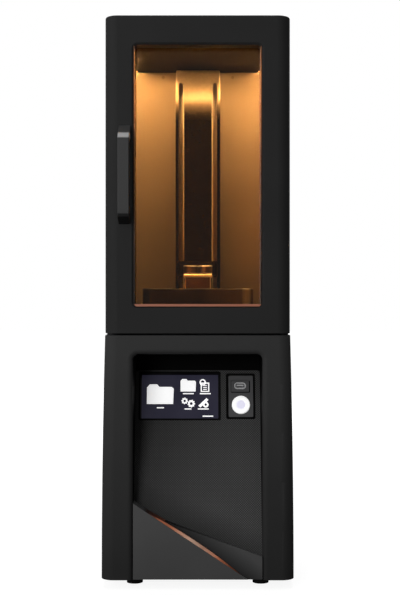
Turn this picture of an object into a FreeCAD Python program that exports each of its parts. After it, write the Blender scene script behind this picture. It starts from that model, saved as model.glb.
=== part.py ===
import FreeCAD, Part
import math
import os
import re

import Sketcher
from FreeCAD import Placement, Rotation, Vector

# Bench-top resin printer: a tapered base with the light engine, a cabinet with the build chamber,
# a door with an amber pane, and a vertical screw drive that lifts the build platform out of the vat.
# +X is to the printer's right seen from the front, the front faces -Y and +Z is up. The origin is
# the middle of the printer's footprint, handle included, on the floor.

doc = FreeCAD.newDocument("resin_printer")
dims = doc.addObject("Spreadsheet::Sheet", "dims")

# Driving sizes, in millimetres and degrees
sizes = {
    # Whole printer
    "body_depth": 330,
    "base_width_low": 273.3,
    "base_width_top": 263.6,
    "cabinet_width": 262.4,
    "foot_height": 13.4,
    "foot_spread": 91,
    "foot_radius": 12.2,
    "foot_inset": 46.2,
    "base_top": 358.2,
    "cabinet_top": 809.7,
    "corner_round": 18,
    "edge_round": 10,
    "rim_round": 3,
    "shell_wall": 4,
    "front_wall": 8,
    "cabinet_wall": 3,
    "fit_gap": 0.4,
    # Recess and control panel
    "recess_half": 91.5,
    "lintel": 26.6,
    "recess_depth": 91,
    "recess_round": 8,
    "recess_edge_round": 7,
    "liner_wall": 2.5,
    "panel_tilt": 16,
    "panel_foot": 27,
    "panel_start": 5,
    "panel_head_gap": 27.6,
    "panel_wall": 3,
    "screen_middle": -26.4,
    "screen_width": 116.8,
    "screen_height": 69.2,
    "screen_drop": 3.1,
    "screen_setback": 1,
    "port_left": 42.2,
    "port_right": 84.5,
    "port_border": 3.2,
    "socket_drop": 23,
    "socket_width": 17,
    "socket_height": 9.4,
    "button_drop": 51.3,
    "button_radius": 13.2,
    "button_travel": 1.5,
    # Plates at the foot of the recess
    "plate_setback": 0.8,
    "plate_low": 14.2,
    "corner_high": 121.3,
    "corner_right": 71.05,
    "wedge_left": -56.8,
    "wedge_right_high": 46.4,
    "wedge_turn": 1.9,
    "strip_bulge": 4.4,
    "strip_left": -73.9,
    "strip_right": 62.5,
    # Door
    "door_depth": 34,
    "door_gap": 3,
    "door_lift": 2.7,
    "window_margin": 41.2,
    "window_sill": 38.1,
    "window_head": 41.7,
    "window_round": 6,
    "window_chamfer": 3,
    "pane_setback": 24,
    "pane_wall": 4,
    "pane_lap": 4.6,
    "rim_side": 19.2,
    "rim_margin": 16,
    "skin_wall": 5,
    "seal_gap": 2.8,
    "hinge_inset": 5,
    "barrel_radius": 4.5,
    "pin_radius": 2,
    "knuckle_length": 25,
    "hinge_rise": 71.1,
    "hinge_drop": 119.7,
    "leaf_wall": 1.2,
    "handle_reach": 29,
    "handle_width": 16,
    "handle_inset": 28.2,
    "handle_rise": 154.1,
    "handle_length": 139,
    "handle_bar": 10,
    "magnet_radius": 3.5,
    "magnet_wall": 3,
    # Chamber
    "chamber_margin": 29.2,
    "ceiling_drop": 23.7,
    "sheet_wall": 1.5,
    "deck_wall": 5.3,
    "lamp_margin": 10,
    "lamp_front": 62,
    "lamp_depth": 40,
    "lamp_height": 9,
    "lamp_edge": 4,
    "side_lamp_front": 176.5,
    "side_lamp_depth": 36,
    "side_lamp_wall": 3.5,
    # Lift tower and carriage
    "tower_half": 35.5,
    "tower_depth": 75,
    "tower_gap": 2,
    "tower_wall": 2,
    "tower_bend": 62,
    "slot_offset": 27,
    "slot_width": 7,
    "slot_rise": 21.5,
    "slot_over": 33,
    "column_half": 32,
    "column_wall": 6,
    "rail_offset": 22,
    "rail_width": 12,
    "rail_depth": 8,
    "screw_radius": 5,
    "screw_setback": 19,
    "carriage_rise": 76.5,
    "carriage_height": 34,
    "carriage_setback": 31,
    "carriage_wall": 6,
    "fin_wall": 5,
    "fin_rise": 3,
    "fin_height": 23,
    "bearing_drop": 34,
    "motor_half": 21,
    "motor_height": 44,
    "coupling_radius": 9,
    "coupling_length": 21,
    # Vat and build platform
    "vat_side": 20.5,
    "vat_front": 62,
    "vat_depth": 135,
    "vat_gap": 13,
    "vat_height": 61.5,
    "vat_wall": 5,
    "vat_round": 14,
    "film_wall": 1,
    "film_ledge": 8.5,
    "platform_gap": 14.5,
    "platform_wall": 13,
    "stem_half": 19.5,
    "stem_depth": 40,
    "arm_rise": 78.5,
    "arm_wall": 3.6,
    "arm_half": 22,
    "knob_radius": 10.8,
    "knob_offset": 11,
    "knob_height": 12,
    "vat_knob_side": 11,
    # Base equipment
    "floor_wall": 3,
    "projector_half": 55,
    "projector_depth": 92,
    "projector_high": 205,
    "lens_radius": 24,
    "lens_drop": 72.5,
    "supply_depth": 96,
    "fan_side": 80,
    "fan_depth": 20,
    "fan_left": -78,
    "fan_low": 150,
    "vane_pitch": 35,
    "inlet_middle": 52,
    "inlet_level": 70,
    "rocker_level": 118,
    "lan_level": 160,
}
# Sizes that follow from those
follows = {
    "recess_top": "base_top - lintel",
    "panel_reach": "(recess_top - panel_head_gap - panel_foot)/cos(panel_tilt)",
    "screen_high": "panel_reach - screen_drop",
    "screen_low": "screen_high - screen_height",
    "socket_level": "panel_reach - socket_drop",
    "button_level": "panel_reach - button_drop",
    "window_half": "cabinet_width/2 - window_margin",
    "window_low": "base_top + door_lift + window_sill",
    "window_high": "cabinet_top - window_head",
    "rim_half": "cabinet_width/2 - rim_side",
    "hinge_low": "base_top + door_lift + hinge_rise",
    "hinge_high": "cabinet_top - hinge_drop",
    "handle_offset": "cabinet_width/2 - handle_inset",
    "handle_low": "base_top + door_lift + handle_rise",
    "handle_high": "handle_low + handle_length",
    "chamber_half": "cabinet_width/2 - chamber_margin",
    "ceiling_level": "cabinet_top - ceiling_drop",
    "lamp_half": "chamber_half - lamp_margin",
    "tower_front": "vat_front + vat_depth + vat_gap",
    "chamber_depth": "tower_front + tower_depth",
    "tower_bend_low": "ceiling_level - tower_gap - tower_bend",
    "deck": "base_top + deck_wall",
    "slot_low": "deck + slot_rise",
    "slot_high": "tower_bend_low + slot_over",
    "carriage_low": "deck + carriage_rise",
    "arm_level": "deck + arm_rise",
    "fin_low": "arm_level + fin_rise",
    "fin_high": "fin_low + fin_height",
    "bearing_level": "ceiling_level - bearing_drop",
    "vat_half": "chamber_half - vat_side",
    "vat_high": "deck + vat_height",
    "vat_knob_offset": "chamber_half - vat_knob_side",
    "build_middle": "vat_front + vat_depth/2",
    "film_half": "vat_half - vat_wall - film_ledge",
    "film_reach": "vat_depth/2 - vat_wall - film_ledge",
    "platform_half": "vat_half - vat_wall - platform_gap",
    "platform_depth": "vat_depth - 2*vat_wall - 2*platform_gap",
    "lens_high": "base_top - lens_drop",
}
for row, (alias, value) in enumerate(sizes.items(), start=1):
    dims.set("A%d" % row, alias)
    dims.set("B%d" % row, str(value))
    dims.setAlias("B%d" % row, alias)
doc.recompute()
nodes = []


def formula(text):
    """An expression in which driving sizes point at their cells and the others are written out."""

    def spell(word):
        name = word[0]
        if name in follows:
            return "(" + formula(follows[name]) + ")"
        return "dims." + name if name in sizes else name

    return re.sub(r"[a-z_]+", spell, text)


def number(text):
    """What an expression comes to with the present sizes."""
    return float(dims.evalExpression(formula(text)))


def bind(thing, prop, text):
    thing.setExpression(prop, formula(text))


# Planes that many pieces share
FRONT = "((handle_reach - body_depth)/2)"
REAR = "((handle_reach + body_depth)/2)"
DOOR_BACK = "(" + FRONT + " + door_depth)"
CABINET_FRONT = "(" + DOOR_BACK + " + door_gap)"
CABINET_INNER = "(" + CABINET_FRONT + " + cabinet_wall)"
BACK_WALL = "(" + FRONT + " + chamber_depth)"
TOWER_FACE = "(" + FRONT + " + tower_front)"
DECK = "deck"
FLOOR = "(foot_height + floor_wall)"
BUILD = "(" + FRONT + " + build_middle)"
HINGE_X = "(cabinet_width/2 - hinge_inset)"
HINGE_Y = "(" + DOOR_BACK + " + door_gap/2)"
SCREW_Y = "(" + BACK_WALL + " - screw_setback)"
CARRIAGE_FACE = "(" + BACK_WALL + " - carriage_setback)"
REAR_PANEL = "(" + REAR + " - shell_wall - panel_wall)"
DOOR_LOW = "(base_top + door_lift)"
RIM_LOW = "(" + DOOR_LOW + " + rim_margin)"
RIM_HIGH = "(cabinet_top - rim_margin)"


def minus(text):
    return "-(" + text + ")"


class Profile:
    """A sketch on one of its body's own planes, with its points tied to the sheet."""

    def __init__(self, body, plane, level="0"):
        self.sketch = body.newObject("Sketcher::SketchObject", body.Label + "_profile")
        support = [f for f in body.Origin.OriginFeatures if f.Role == plane + "_Plane"][0]
        self.sketch.AttachmentSupport = [(support, "")]
        self.sketch.MapMode = "FlatFace"
        bind(self.sketch, "AttachmentOffset.Base.z", minus(level) if plane == "XZ" else level)

    def add(self, shape):
        return self.sketch.addGeometry(shape, False)

    def hold(self, kind, *where):
        self.sketch.addConstraint(Sketcher.Constraint(kind, *where))

    def measure(self, kind, where, text):
        index = self.sketch.addConstraint(Sketcher.Constraint(kind, *where, number(text)))
        bind(self.sketch, "Constraints[%d]" % index, text)

    def pin(self, shape, point, x, y):
        self.measure("DistanceX", (-1, 1, shape, point), x)
        self.measure("DistanceY", (-1, 1, shape, point), y)

    def polygon(self, *corners):
        spots = [Vector(number(x), number(y), 0) for x, y in corners]
        ends = spots[1:] + spots[:1]
        sides = [self.add(Part.LineSegment(a, b)) for a, b in zip(spots, ends)]
        for side, after in zip(sides, sides[1:] + sides[:1]):
            self.hold("Coincident", side, 2, after, 1)
        for side, (x, y) in zip(sides, corners):
            self.pin(side, 1, x, y)
        return self

    def rectangle(self, left, right, low, high):
        return self.polygon((left, low), (right, low), (right, high), (left, high))

    def circle(self, x, y, radius):
        middle = Vector(number(x), number(y), 0)
        ring = self.add(Part.Circle(middle, Vector(0, 0, 1), number(radius)))
        self.pin(ring, 3, x, y)
        self.measure("Radius", (ring,), radius)
        return self

    def rounded(self, left, right, low, high, low_round, high_round=None):
        """A rectangle with rounded corners, whose two low and two high corners may differ."""
        high_round = high_round or low_round
        x0, x1, y0, y1 = [number(text) for text in (left, right, low, high)]
        a, b = number(low_round), number(high_round)
        lines = [
            self.add(Part.LineSegment(Vector(x0 + a, y0, 0), Vector(x1 - a, y0, 0))),
            self.add(Part.LineSegment(Vector(x1, y0 + a, 0), Vector(x1, y1 - b, 0))),
            self.add(Part.LineSegment(Vector(x1 - b, y1, 0), Vector(x0 + b, y1, 0))),
            self.add(Part.LineSegment(Vector(x0, y1 - b, 0), Vector(x0, y0 + a, 0))),
        ]
        middles = [
            (right + " - (" + low_round + ")", low + " + (" + low_round + ")", low_round),
            (right + " - (" + high_round + ")", high + " - (" + high_round + ")", high_round),
            (left + " + (" + high_round + ")", high + " - (" + high_round + ")", high_round),
            (left + " + (" + low_round + ")", low + " + (" + low_round + ")", low_round),
        ]
        quarter = math.pi / 2
        arcs = []
        for turn, (x, y, radius) in enumerate(middles):
            ring = Part.Circle(Vector(number(x), number(y), 0), Vector(0, 0, 1), number(radius))
            arcs.append(self.add(Part.ArcOfCircle(ring, (turn - 1) * quarter, turn * quarter)))
        for line, arc, after in zip(lines, arcs, lines[1:] + lines[:1]):
            self.hold("Tangent", line, 2, arc, 1)
            self.hold("Tangent", arc, 2, after, 1)
        for arc, (x, y, radius) in zip(arcs, middles):
            self.pin(arc, 3, x, y)
            self.measure("Radius", (arc,), radius)
        return self

    def bowed(self, half_low, half_high, low, high):
        """A symmetrical outline with sides that stand upright at the foot and curve in to a narrower head."""
        rise = "(" + high + " - (" + low + "))"
        lean = "(" + half_low + " - (" + half_high + "))"
        radius = rise + "^2/(2*" + lean + ") + " + lean + "/2"
        reach, x0, x1, y0, y1 = [number(text) for text in (radius, half_low, half_high, low, high)]
        sweep = math.asin((y1 - y0) / reach)
        right_circle = Part.Circle(Vector(x0 - reach, y0, 0), Vector(0, 0, 1), reach)
        left_circle = Part.Circle(Vector(reach - x0, y0, 0), Vector(0, 0, 1), reach)
        foot = self.add(Part.LineSegment(Vector(-x0, y0, 0), Vector(x0, y0, 0)))
        right = self.add(Part.ArcOfCircle(right_circle, 0, sweep))
        head = self.add(Part.LineSegment(Vector(x1, y1, 0), Vector(-x1, y1, 0)))
        left = self.add(Part.ArcOfCircle(left_circle, math.pi - sweep, math.pi))
        sides = [foot, right, head, left]
        for side, after in zip(sides, sides[1:] + sides[:1]):
            self.hold("Coincident", side, 2, after, 1)
        self.pin(foot, 1, minus(half_low), low)
        self.pin(foot, 2, half_low, low)
        self.pin(head, 1, half_high, high)
        self.pin(head, 2, minus(half_high), high)
        self.measure("Radius", (right,), radius)
        self.measure("Radius", (left,), radius)
        return self


def body(label):
    piece = doc.addObject("PartDesign::Body", label)
    piece.Label = label
    return piece


def pad(piece, profile, length, reverse=False, both=False):
    feature = piece.newObject("PartDesign::Pad", piece.Label + "_pad")
    feature.Profile = profile.sketch
    feature.Reversed = reverse
    feature.SideType = "Symmetric" if both else "One side"
    bind(feature, "Length", length)
    return feature


def pocket(piece, profile, length=None, reverse=False, both=False):
    feature = piece.newObject("PartDesign::Pocket", piece.Label + "_pocket")
    feature.Profile = profile.sketch
    feature.Reversed = reverse
    feature.SideType = "Symmetric" if both else "One side"
    if length is None:
        feature.Type = "ThroughAll"
    else:
        bind(feature, "Length", length)
    return feature


def soften(piece, kind, prop, amount, test):
    """Rounds or bevels the edges of a body's present shape that pass the test."""
    doc.recompute()
    tip = piece.Tip
    picked = ["Edge%d" % (i + 1) for i, edge in enumerate(tip.Shape.Edges) if test(edge.BoundBox)]
    feature = piece.newObject("PartDesign::" + kind, piece.Label + "_" + kind.lower())
    feature.Base = (tip, picked)
    bind(feature, prop, amount)
    return feature


def repeat(piece, feature, plane_axis, count, length):
    """A row of copies of one feature, spread over a length along a body axis."""
    axis = [f for f in piece.Origin.OriginFeatures if f.Role == plane_axis + "_Axis"][0]
    row = piece.newObject("PartDesign::LinearPattern", piece.Label + "_row")
    row.Originals = [feature]
    row.Direction = (axis, [""])
    row.Occurrences = count
    bind(row, "Length", length)
    piece.Tip = row
    return row


def place(thing, x, y, z):
    bind(thing, "Placement.Base.x", x)
    bind(thing, "Placement.Base.y", y)
    bind(thing, "Placement.Base.z", z)


def lay_on_panel(thing):
    """Sets a body's XY plane on the leaning control panel, with Y up the slope and Z out of it."""
    thing.Placement = Placement(Vector(0, 0, 0), Rotation(Vector(1, 0, 0), 74))
    place(thing, "0", FRONT, "panel_foot")
    bind(thing, "Placement.Rotation.Angle", "90 - panel_tilt")


def box(label, x, y, z, length, width, height):
    thing = doc.addObject("Part::Box", label)
    place(thing, x, y, z)
    bind(thing, "Length", length)
    bind(thing, "Width", width)
    bind(thing, "Height", height)
    return thing


def cylinder(label, x, y, z, radius, height, along="Z"):
    thing = doc.addObject("Part::Cylinder", label)
    if along == "Y":
        thing.Placement = Placement(Vector(0, 0, 0), Rotation(Vector(1, 0, 0), -90))
    place(thing, x, y, z)
    bind(thing, "Radius", radius)
    bind(thing, "Height", height)
    return thing


def fuse(label, *parts):
    thing = doc.addObject("Part::MultiFuse", label)
    thing.Shapes = list(parts)
    return thing


def cut(label, base, *tools):
    thing = doc.addObject("Part::Cut", label)
    thing.Base = base
    thing.Tool = tools[0] if len(tools) == 1 else fuse(label + "_tools", *tools)
    return thing


def together(label, *parts):
    """Separate solids of one kind that share a node."""
    thing = doc.addObject("Part::Compound", label)
    thing.Links = list(parts)
    return thing


def node(thing, label):
    thing.Label = label
    nodes.append(thing)
    return thing


# Base shell: a housing with bowed sides, open below, with the control recess in front
HALF_LOW = "base_width_low/2"
HALF_TOP = "base_width_top/2"
INNER_LOW = "base_width_low/2 - shell_wall"
INNER_TOP = "base_width_top/2 - shell_wall"
INNER_FRONT = "(" + FRONT + " + front_wall)"
INNER_REAR = "(" + REAR + " - shell_wall)"
INNER_ROUND = "corner_round - shell_wall"


def upright(b):
    return b.ZMax - b.ZMin > number("base_top") / 2


shell = body("shell_outside")
taper = Profile(shell, "XZ", FRONT)
taper.bowed(HALF_LOW, HALF_TOP, "foot_height", "base_top")
pad(shell, taper, "body_depth", reverse=True)
soften(shell, "Fillet", "Radius", "corner_round", upright)
portal = Profile(shell, "XZ", FRONT)
portal.rounded("-recess_half", "recess_half", "-2*recess_round", "recess_top", "recess_round")
pocket(shell, portal, "front_wall + 1")


def on_portal(b):
    in_front = b.YMax < number(FRONT) + 0.01
    inside = max(-b.XMin, b.XMax) < number("recess_half") + 0.01
    return in_front and inside and b.ZMax > number("foot_height + 2*rim_round")


soften(shell, "Fillet", "Radius", "recess_edge_round", on_portal)
service = Profile(shell, "XZ", REAR)
service.rounded("-recess_half", "recess_half", "foot_height + 27", "base_top - 58", "rim_round*2")
pocket(shell, service, "shell_wall + 1", reverse=True)
well = Profile(shell, "XY", "base_top")
WELL_HALF = "(chamber_half - 10.5)"
well.rounded(minus(WELL_HALF), WELL_HALF, FRONT + " + 68", BACK_WALL + " + 8", "recess_round")
pocket(shell, well, "shell_wall + 1")

hollow = body("shell_inside")
inner_taper = Profile(hollow, "XZ", INNER_FRONT)
inner_taper.bowed(INNER_LOW, INNER_TOP, "foot_height", "base_top - shell_wall")
pad(hollow, inner_taper, "body_depth - front_wall - shell_wall", reverse=True)
soften(hollow, "Fillet", "Radius", INNER_ROUND, upright)
node(cut("base_shell", shell, hollow), "base_shell")

# Floor plate that carries the equipment, on four rubber feet
floor = body("base_floor")
outline = Profile(floor, "XY", "foot_height")
FLOOR_HALF = "base_width_low/2 - shell_wall - fit_gap"
outline.rounded(
    minus(FLOOR_HALF), FLOOR_HALF, INNER_FRONT + " + fit_gap", INNER_REAR + " - fit_gap", INNER_ROUND
)
pad(floor, outline, "floor_wall")
vents = Profile(floor, "XY", FLOOR)
vents.rounded("-100", "-70", BUILD + " + 54", BUILD + " + 58", "1.9")
first_vent = pocket(floor, vents)
repeat(floor, first_vent, "Y", 6, "60")
node(floor, "base_floor")


def foot(label, x, y):
    thing = doc.addObject("Part::Cone", label)
    place(thing, x, y, "0")
    bind(thing, "Radius1", "foot_radius - 0.6")
    bind(thing, "Radius2", "foot_radius")
    bind(thing, "Height", "foot_height")
    return thing


feet = together(
    "rubber_feet",
    foot("foot_front_left", "-foot_spread", FRONT + " + foot_inset"),
    foot("foot_front_right", "foot_spread", FRONT + " + foot_inset"),
    foot("foot_rear_left", "-foot_spread", REAR + " - foot_inset"),
    foot("foot_rear_right", "foot_spread", REAR + " - foot_inset"),
)
node(feet, "rubber_feet")

# Recess liner: cheeks, ceiling, sill and the strip behind the panel's head
SLOPE = "tan(panel_tilt)"
SILL_TOP = "(panel_foot + panel_start/tan(panel_tilt) - panel_wall*sin(panel_tilt))"
HEAD = "(panel_foot + panel_reach*cos(panel_tilt) - 9)"
BEHIND = "(panel_wall/cos(panel_tilt) + 2)"
LINER_LOW = "(" + FLOOR + " + 0.3)"
liner = body("recess_liner")
cheek = Profile(liner, "YZ")
cheek.polygon(
    (INNER_FRONT, LINER_LOW),
    (INNER_FRONT, "recess_top + liner_wall"),
    (FRONT + " + recess_depth + liner_wall", "recess_top + liner_wall"),
    (FRONT + " + recess_depth + liner_wall", HEAD),
    (FRONT + " + (" + HEAD + " - panel_foot)*" + SLOPE + " + " + BEHIND, HEAD),
    (FRONT + " + panel_start + " + BEHIND + " + 4", SILL_TOP + " + 4/" + SLOPE),
    (INNER_FRONT + " + liner_wall", SILL_TOP),
    (INNER_FRONT + " + liner_wall", LINER_LOW),
)
pad(liner, cheek, "2*(recess_half + liner_wall)", both=True)
open_space = Profile(liner, "YZ")
open_space.polygon(
    (FRONT, SILL_TOP),
    (FRONT, "recess_top"),
    (FRONT + " + recess_depth", "recess_top"),
    (FRONT + " + recess_depth", HEAD + " - 5"),
    (FRONT + " + recess_depth + 20", HEAD + " - 5"),
    (FRONT + " + recess_depth + 20", "0"),
    (INNER_FRONT + " + liner_wall", "0"),
    (INNER_FRONT + " + liner_wall", SILL_TOP),
)
pocket(liner, open_space, "2*recess_half", both=True)
node(liner, "recess_liner")

# Leaning control panel
PANEL_LOW = "(panel_start/sin(panel_tilt))"
SCREEN_LEFT = "(screen_middle - screen_width/2)"
SCREEN_RIGHT = "(screen_middle + screen_width/2)"
PORT_LOW = "screen_low"
PORT_HIGH = "(screen_high - 1.5)"
PORT_MIDDLE = "((port_left + port_right)/2)"
panel = body("front_panel")
face = Profile(panel, "XY", "-panel_wall")
face.rounded("-recess_half", "recess_half", PANEL_LOW, "panel_reach", "0.5", "4")
pad(panel, face, "panel_wall")
openings = Profile(panel, "XY")
openings.rounded(SCREEN_LEFT, SCREEN_RIGHT, "screen_low", "screen_high", "2")
openings.rounded("port_left", "port_right", PORT_LOW, PORT_HIGH, "2")
pocket(panel, openings)


def opening_edge(b):
    in_front = b.ZMin > -0.01
    return in_front and b.YMin > number("screen_low") - 0.1 and b.YMax < number("screen_high") + 0.1


soften(panel, "Chamfer", "Size", "0.8", opening_edge)
lay_on_panel(panel)
node(panel, "front_panel")

glass = body("display_glass")
pane = Profile(glass, "XY", "-panel_wall")
pane.rounded(
    SCREEN_LEFT + " + 0.2", SCREEN_RIGHT + " - 0.2", "screen_low + 0.2", "screen_high - 0.2", "1.8"
)
pad(glass, pane, "panel_wall - screen_setback")
lay_on_panel(glass)
node(glass, "display_glass")

display = body("display_module")
tray = Profile(display, "XY", "-panel_wall - 9")
tray.rounded(SCREEN_LEFT + " - 2", SCREEN_RIGHT + " + 2", "screen_low - 2.5", "screen_high + 1.5", "1")
pad(display, tray, "9")
board = Profile(display, "XY", "-panel_wall - 12")
board.rectangle(SCREEN_LEFT + " + 12", SCREEN_RIGHT + " - 20", "screen_low + 10", "screen_high - 14")
pad(display, board, "3")
lay_on_panel(display)
node(display, "display_module")

# Port plate with a raised face, the socket's pocket and the button's hole
plate = body("port_plate")
back = Profile(plate, "XY", "-2*panel_wall")
back.rounded("port_left - 3", "port_right + 3", PORT_LOW + " - 3", PORT_HIGH + " + 3", "3")
pad(plate, back, "panel_wall")
raised = Profile(plate, "XY", "-panel_wall")
raised.rounded(
    "port_left + port_border",
    "port_right - port_border",
    PORT_LOW + " + port_border",
    PORT_HIGH + " - port_border",
    "2",
)
pad(plate, raised, "panel_wall/2")
hood = Profile(plate, "XY", "-panel_wall/2")
hood.rounded(
    PORT_MIDDLE + " - 14.5", PORT_MIDDLE + " + 12.5", "socket_level - 9", "socket_level + 9", "1.5"
)
pocket(plate, hood, "panel_wall/2")
mouth = Profile(plate, "XY")
mouth.rounded(
    PORT_MIDDLE + " - 1 - socket_width/2",
    PORT_MIDDLE + " - 1 + socket_width/2",
    "socket_level - socket_height/2",
    "socket_level + socket_height/2",
    "socket_height/2 - 0.1",
)
mouth.circle(PORT_MIDDLE, "button_level", "button_radius + fit_gap")
pocket(plate, mouth)
lay_on_panel(plate)
node(plate, "port_plate")

socket = body("usb_socket")
can = Profile(socket, "XY", "-2*panel_wall - 14")
can.rounded(
    PORT_MIDDLE + " - 1 - socket_width/2",
    PORT_MIDDLE + " - 1 + socket_width/2",
    "socket_level - socket_height/2",
    "socket_level + socket_height/2",
    "socket_height/2 - 0.1",
)
pad(socket, can, "panel_wall*1.3 + 14")
slot = Profile(socket, "XY", "-panel_wall/2")
slot.rectangle(
    PORT_MIDDLE + " - 7.3", PORT_MIDDLE + " + 5.3", "socket_level - 2.4", "socket_level + 2.4"
)
pocket(socket, slot, "13")
tongue = Profile(socket, "XY", "-2*panel_wall - 12")
tongue.rectangle(
    PORT_MIDDLE + " - 6.6", PORT_MIDDLE + " + 4.6", "socket_level - 0.2", "socket_level + 1.6"
)
pad(socket, tongue, "12.5")
lay_on_panel(socket)
node(socket, "usb_socket")

# Round push button in its switch housing
button = body("power_button")
cap = Profile(button, "XY", "-2*panel_wall - 3")
cap.circle(PORT_MIDDLE, "button_level", "button_radius")
pad(button, cap, "2*panel_wall + 3.6")
soften(button, "Chamfer", "Size", "0.8", lambda b: b.ZMin > 0.5)
dish = Profile(button, "XY", "0.6")
dish.circle(PORT_MIDDLE, "button_level", "button_radius*0.56")
pocket(button, dish, "0.4")
lay_on_panel(button)
node(button, "power_button")

housing = body("button_switch")
cup = Profile(housing, "XY", "-2*panel_wall - 18")
cup.circle(PORT_MIDDLE, "button_level", "button_radius + 3")
pad(housing, cup, "18")
cavity = Profile(housing, "XY", "-2*panel_wall")
cavity.circle(PORT_MIDDLE, "button_level", "button_radius + fit_gap")
pocket(housing, cavity, "3 + button_travel + fit_gap")
lay_on_panel(housing)
node(housing, "button_switch")

# Plates at the foot of the recess: each stands on the sill and the control panel behind it
panel_space = doc.addObject("Part::Box", "panel_space")
panel_space.Placement = Placement(Vector(0, 0, 0), Rotation(Vector(1, 0, 0), 74))
bind(panel_space, "Placement.Rotation.Angle", "90 - panel_tilt")
place(
    panel_space,
    "-base_width_low",
    FRONT + " + " + PANEL_LOW + "*sin(panel_tilt) + body_depth*cos(panel_tilt)",
    "panel_foot + " + PANEL_LOW + "*cos(panel_tilt) - body_depth*sin(panel_tilt)",
)
bind(panel_space, "Length", "2*base_width_low")
bind(panel_space, "Width", "base_top")
bind(panel_space, "Height", "body_depth")
sill_space = box(
    "sill_space",
    "-base_width_low",
    INNER_FRONT,
    "-base_top",
    "2*base_width_low",
    "body_depth",
    "base_top + " + SILL_TOP,
)
behind_plates = fuse("behind_plates", panel_space, sill_space)

CORNER_LEFT = "(0.3 - recess_half)"
FALL = "((corner_high - plate_low)/(corner_right - " + CORNER_LEFT + "))"
HYPOTENUSE = "(corner_high - ({} - " + CORNER_LEFT + ")*" + FALL + ")"
corner_blank = body("corner_blank")
triangle = Profile(corner_blank, "XZ", FRONT + " + plate_setback")
triangle.polygon((CORNER_LEFT, "plate_low"), ("corner_right", "plate_low"), (CORNER_LEFT, "corner_high"))
pad(corner_blank, triangle, "40", reverse=True)
node(cut("corner_plate", corner_blank, behind_plates), "corner_plate")

strip_blank = body("strip_blank")
lens = Profile(strip_blank, "XZ", FRONT + " + plate_setback + 0.5")
STRIP_LEFT_Z = HYPOTENUSE.format("strip_left")
STRIP_RIGHT_Z = HYPOTENUSE.format("strip_right")
CHORD = "sqrt((strip_right - strip_left)^2 + (" + STRIP_LEFT_Z + " - " + STRIP_RIGHT_Z + ")^2)"
start = Vector(number("strip_left"), number(STRIP_LEFT_Z), 0)
finish = Vector(number("strip_right"), number(STRIP_RIGHT_Z), 0)
along = (finish - start).normalize()
crown = (start + finish) * 0.5 + Vector(-along.y, along.x, 0) * number("strip_bulge")
chord = lens.add(Part.LineSegment(start, finish))
bow = lens.add(Part.Arc(finish, crown, start))
lens.hold("Coincident", chord, 2, bow, 1)
lens.hold("Coincident", chord, 1, bow, 2)
lens.pin(chord, 1, "strip_left", STRIP_LEFT_Z)
lens.pin(chord, 2, "strip_right", STRIP_RIGHT_Z)
lens.measure("Radius", (bow,), CHORD + "^2/(8*strip_bulge) + strip_bulge/2")
pad(strip_blank, lens, "40", reverse=True)
strip = cut("accent_strip", strip_blank, behind_plates)
node(strip, "accent_strip")

wedge_blank = body("wedge_blank")
quad = Profile(wedge_blank, "XZ", FRONT)
quad.polygon(
    ("wedge_left", HYPOTENUSE.format("wedge_left")),
    ("corner_right", "plate_low"),
    ("recess_half - 0.3", "plate_low"),
    ("recess_half - 0.3", "wedge_right_high"),
)
pad(wedge_blank, quad, "40", reverse=True)
facet_space = doc.addObject("Part::Box", "facet_space")
facet_space.Placement = Placement(Vector(0, 0, 0), Rotation(Vector(0, 0, 1), -1.9))
bind(facet_space, "Placement.Rotation.Angle", "-wedge_turn")
place(
    facet_space,
    "recess_half - 300*cos(wedge_turn) - 60*sin(wedge_turn)",
    FRONT + " + 1.2 + 300*sin(wedge_turn) - 60*cos(wedge_turn)",
    "0",
)
bind(facet_space, "Length", "400")
bind(facet_space, "Width", "60")
bind(facet_space, "Height", "base_top")
node(cut("wedge_panel", wedge_blank, behind_plates, facet_space, strip_blank), "wedge_panel")

# Light engine in the base, lens upward
projector = body("projector_body")
case = Profile(projector, "XY", FLOOR)
case.rounded(
    "-projector_half", "projector_half", BUILD + " - projector_depth/2", BUILD + " + projector_depth/2", "6"
)
pad(projector, case, "projector_high - " + FLOOR)
fins = Profile(projector, "XZ", BUILD + " + projector_depth/2")
fins.rectangle("-projector_half + 8", "projector_half - 8", FLOOR + " + 20", FLOOR + " + 26")
first_fin = pocket(projector, fins, "8", reverse=True)
repeat(projector, first_fin, "Z", 11, "120")
node(projector, "projector_body")

barrel = body("projector_lens")
tube = Profile(barrel, "XY", "projector_high")
tube.circle("0", BUILD, "lens_radius")
pad(barrel, tube, "lens_high - projector_high")
collar = Profile(barrel, "XY", "projector_high + 18")
collar.circle("0", BUILD, "lens_radius + 3")
pad(barrel, collar, "22")
bowl = Profile(barrel, "XY", "lens_high")
bowl.circle("0", BUILD, "lens_radius - 5")
pocket(barrel, bowl, "6")
node(barrel, "projector_lens")

ENGINE_BACK = "(" + BUILD + " + projector_depth/2)"
EQUIPMENT = "(" + ENGINE_BACK + " + 6.5)"
supply = body("power_supply")
crate = Profile(supply, "XY", FLOOR)
crate.rounded("12", "112", EQUIPMENT, EQUIPMENT + " + supply_depth", "1.5")
pad(supply, crate, "42")
mesh = Profile(supply, "XY", FLOOR + " + 42")
mesh.rounded("22", "102", EQUIPMENT + " + 8", EQUIPMENT + " + 12", "1.9")
first_mesh = pocket(supply, mesh, "2")
repeat(supply, first_mesh, "Y", 9, "supply_depth - 24")
node(supply, "power_supply")

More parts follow.
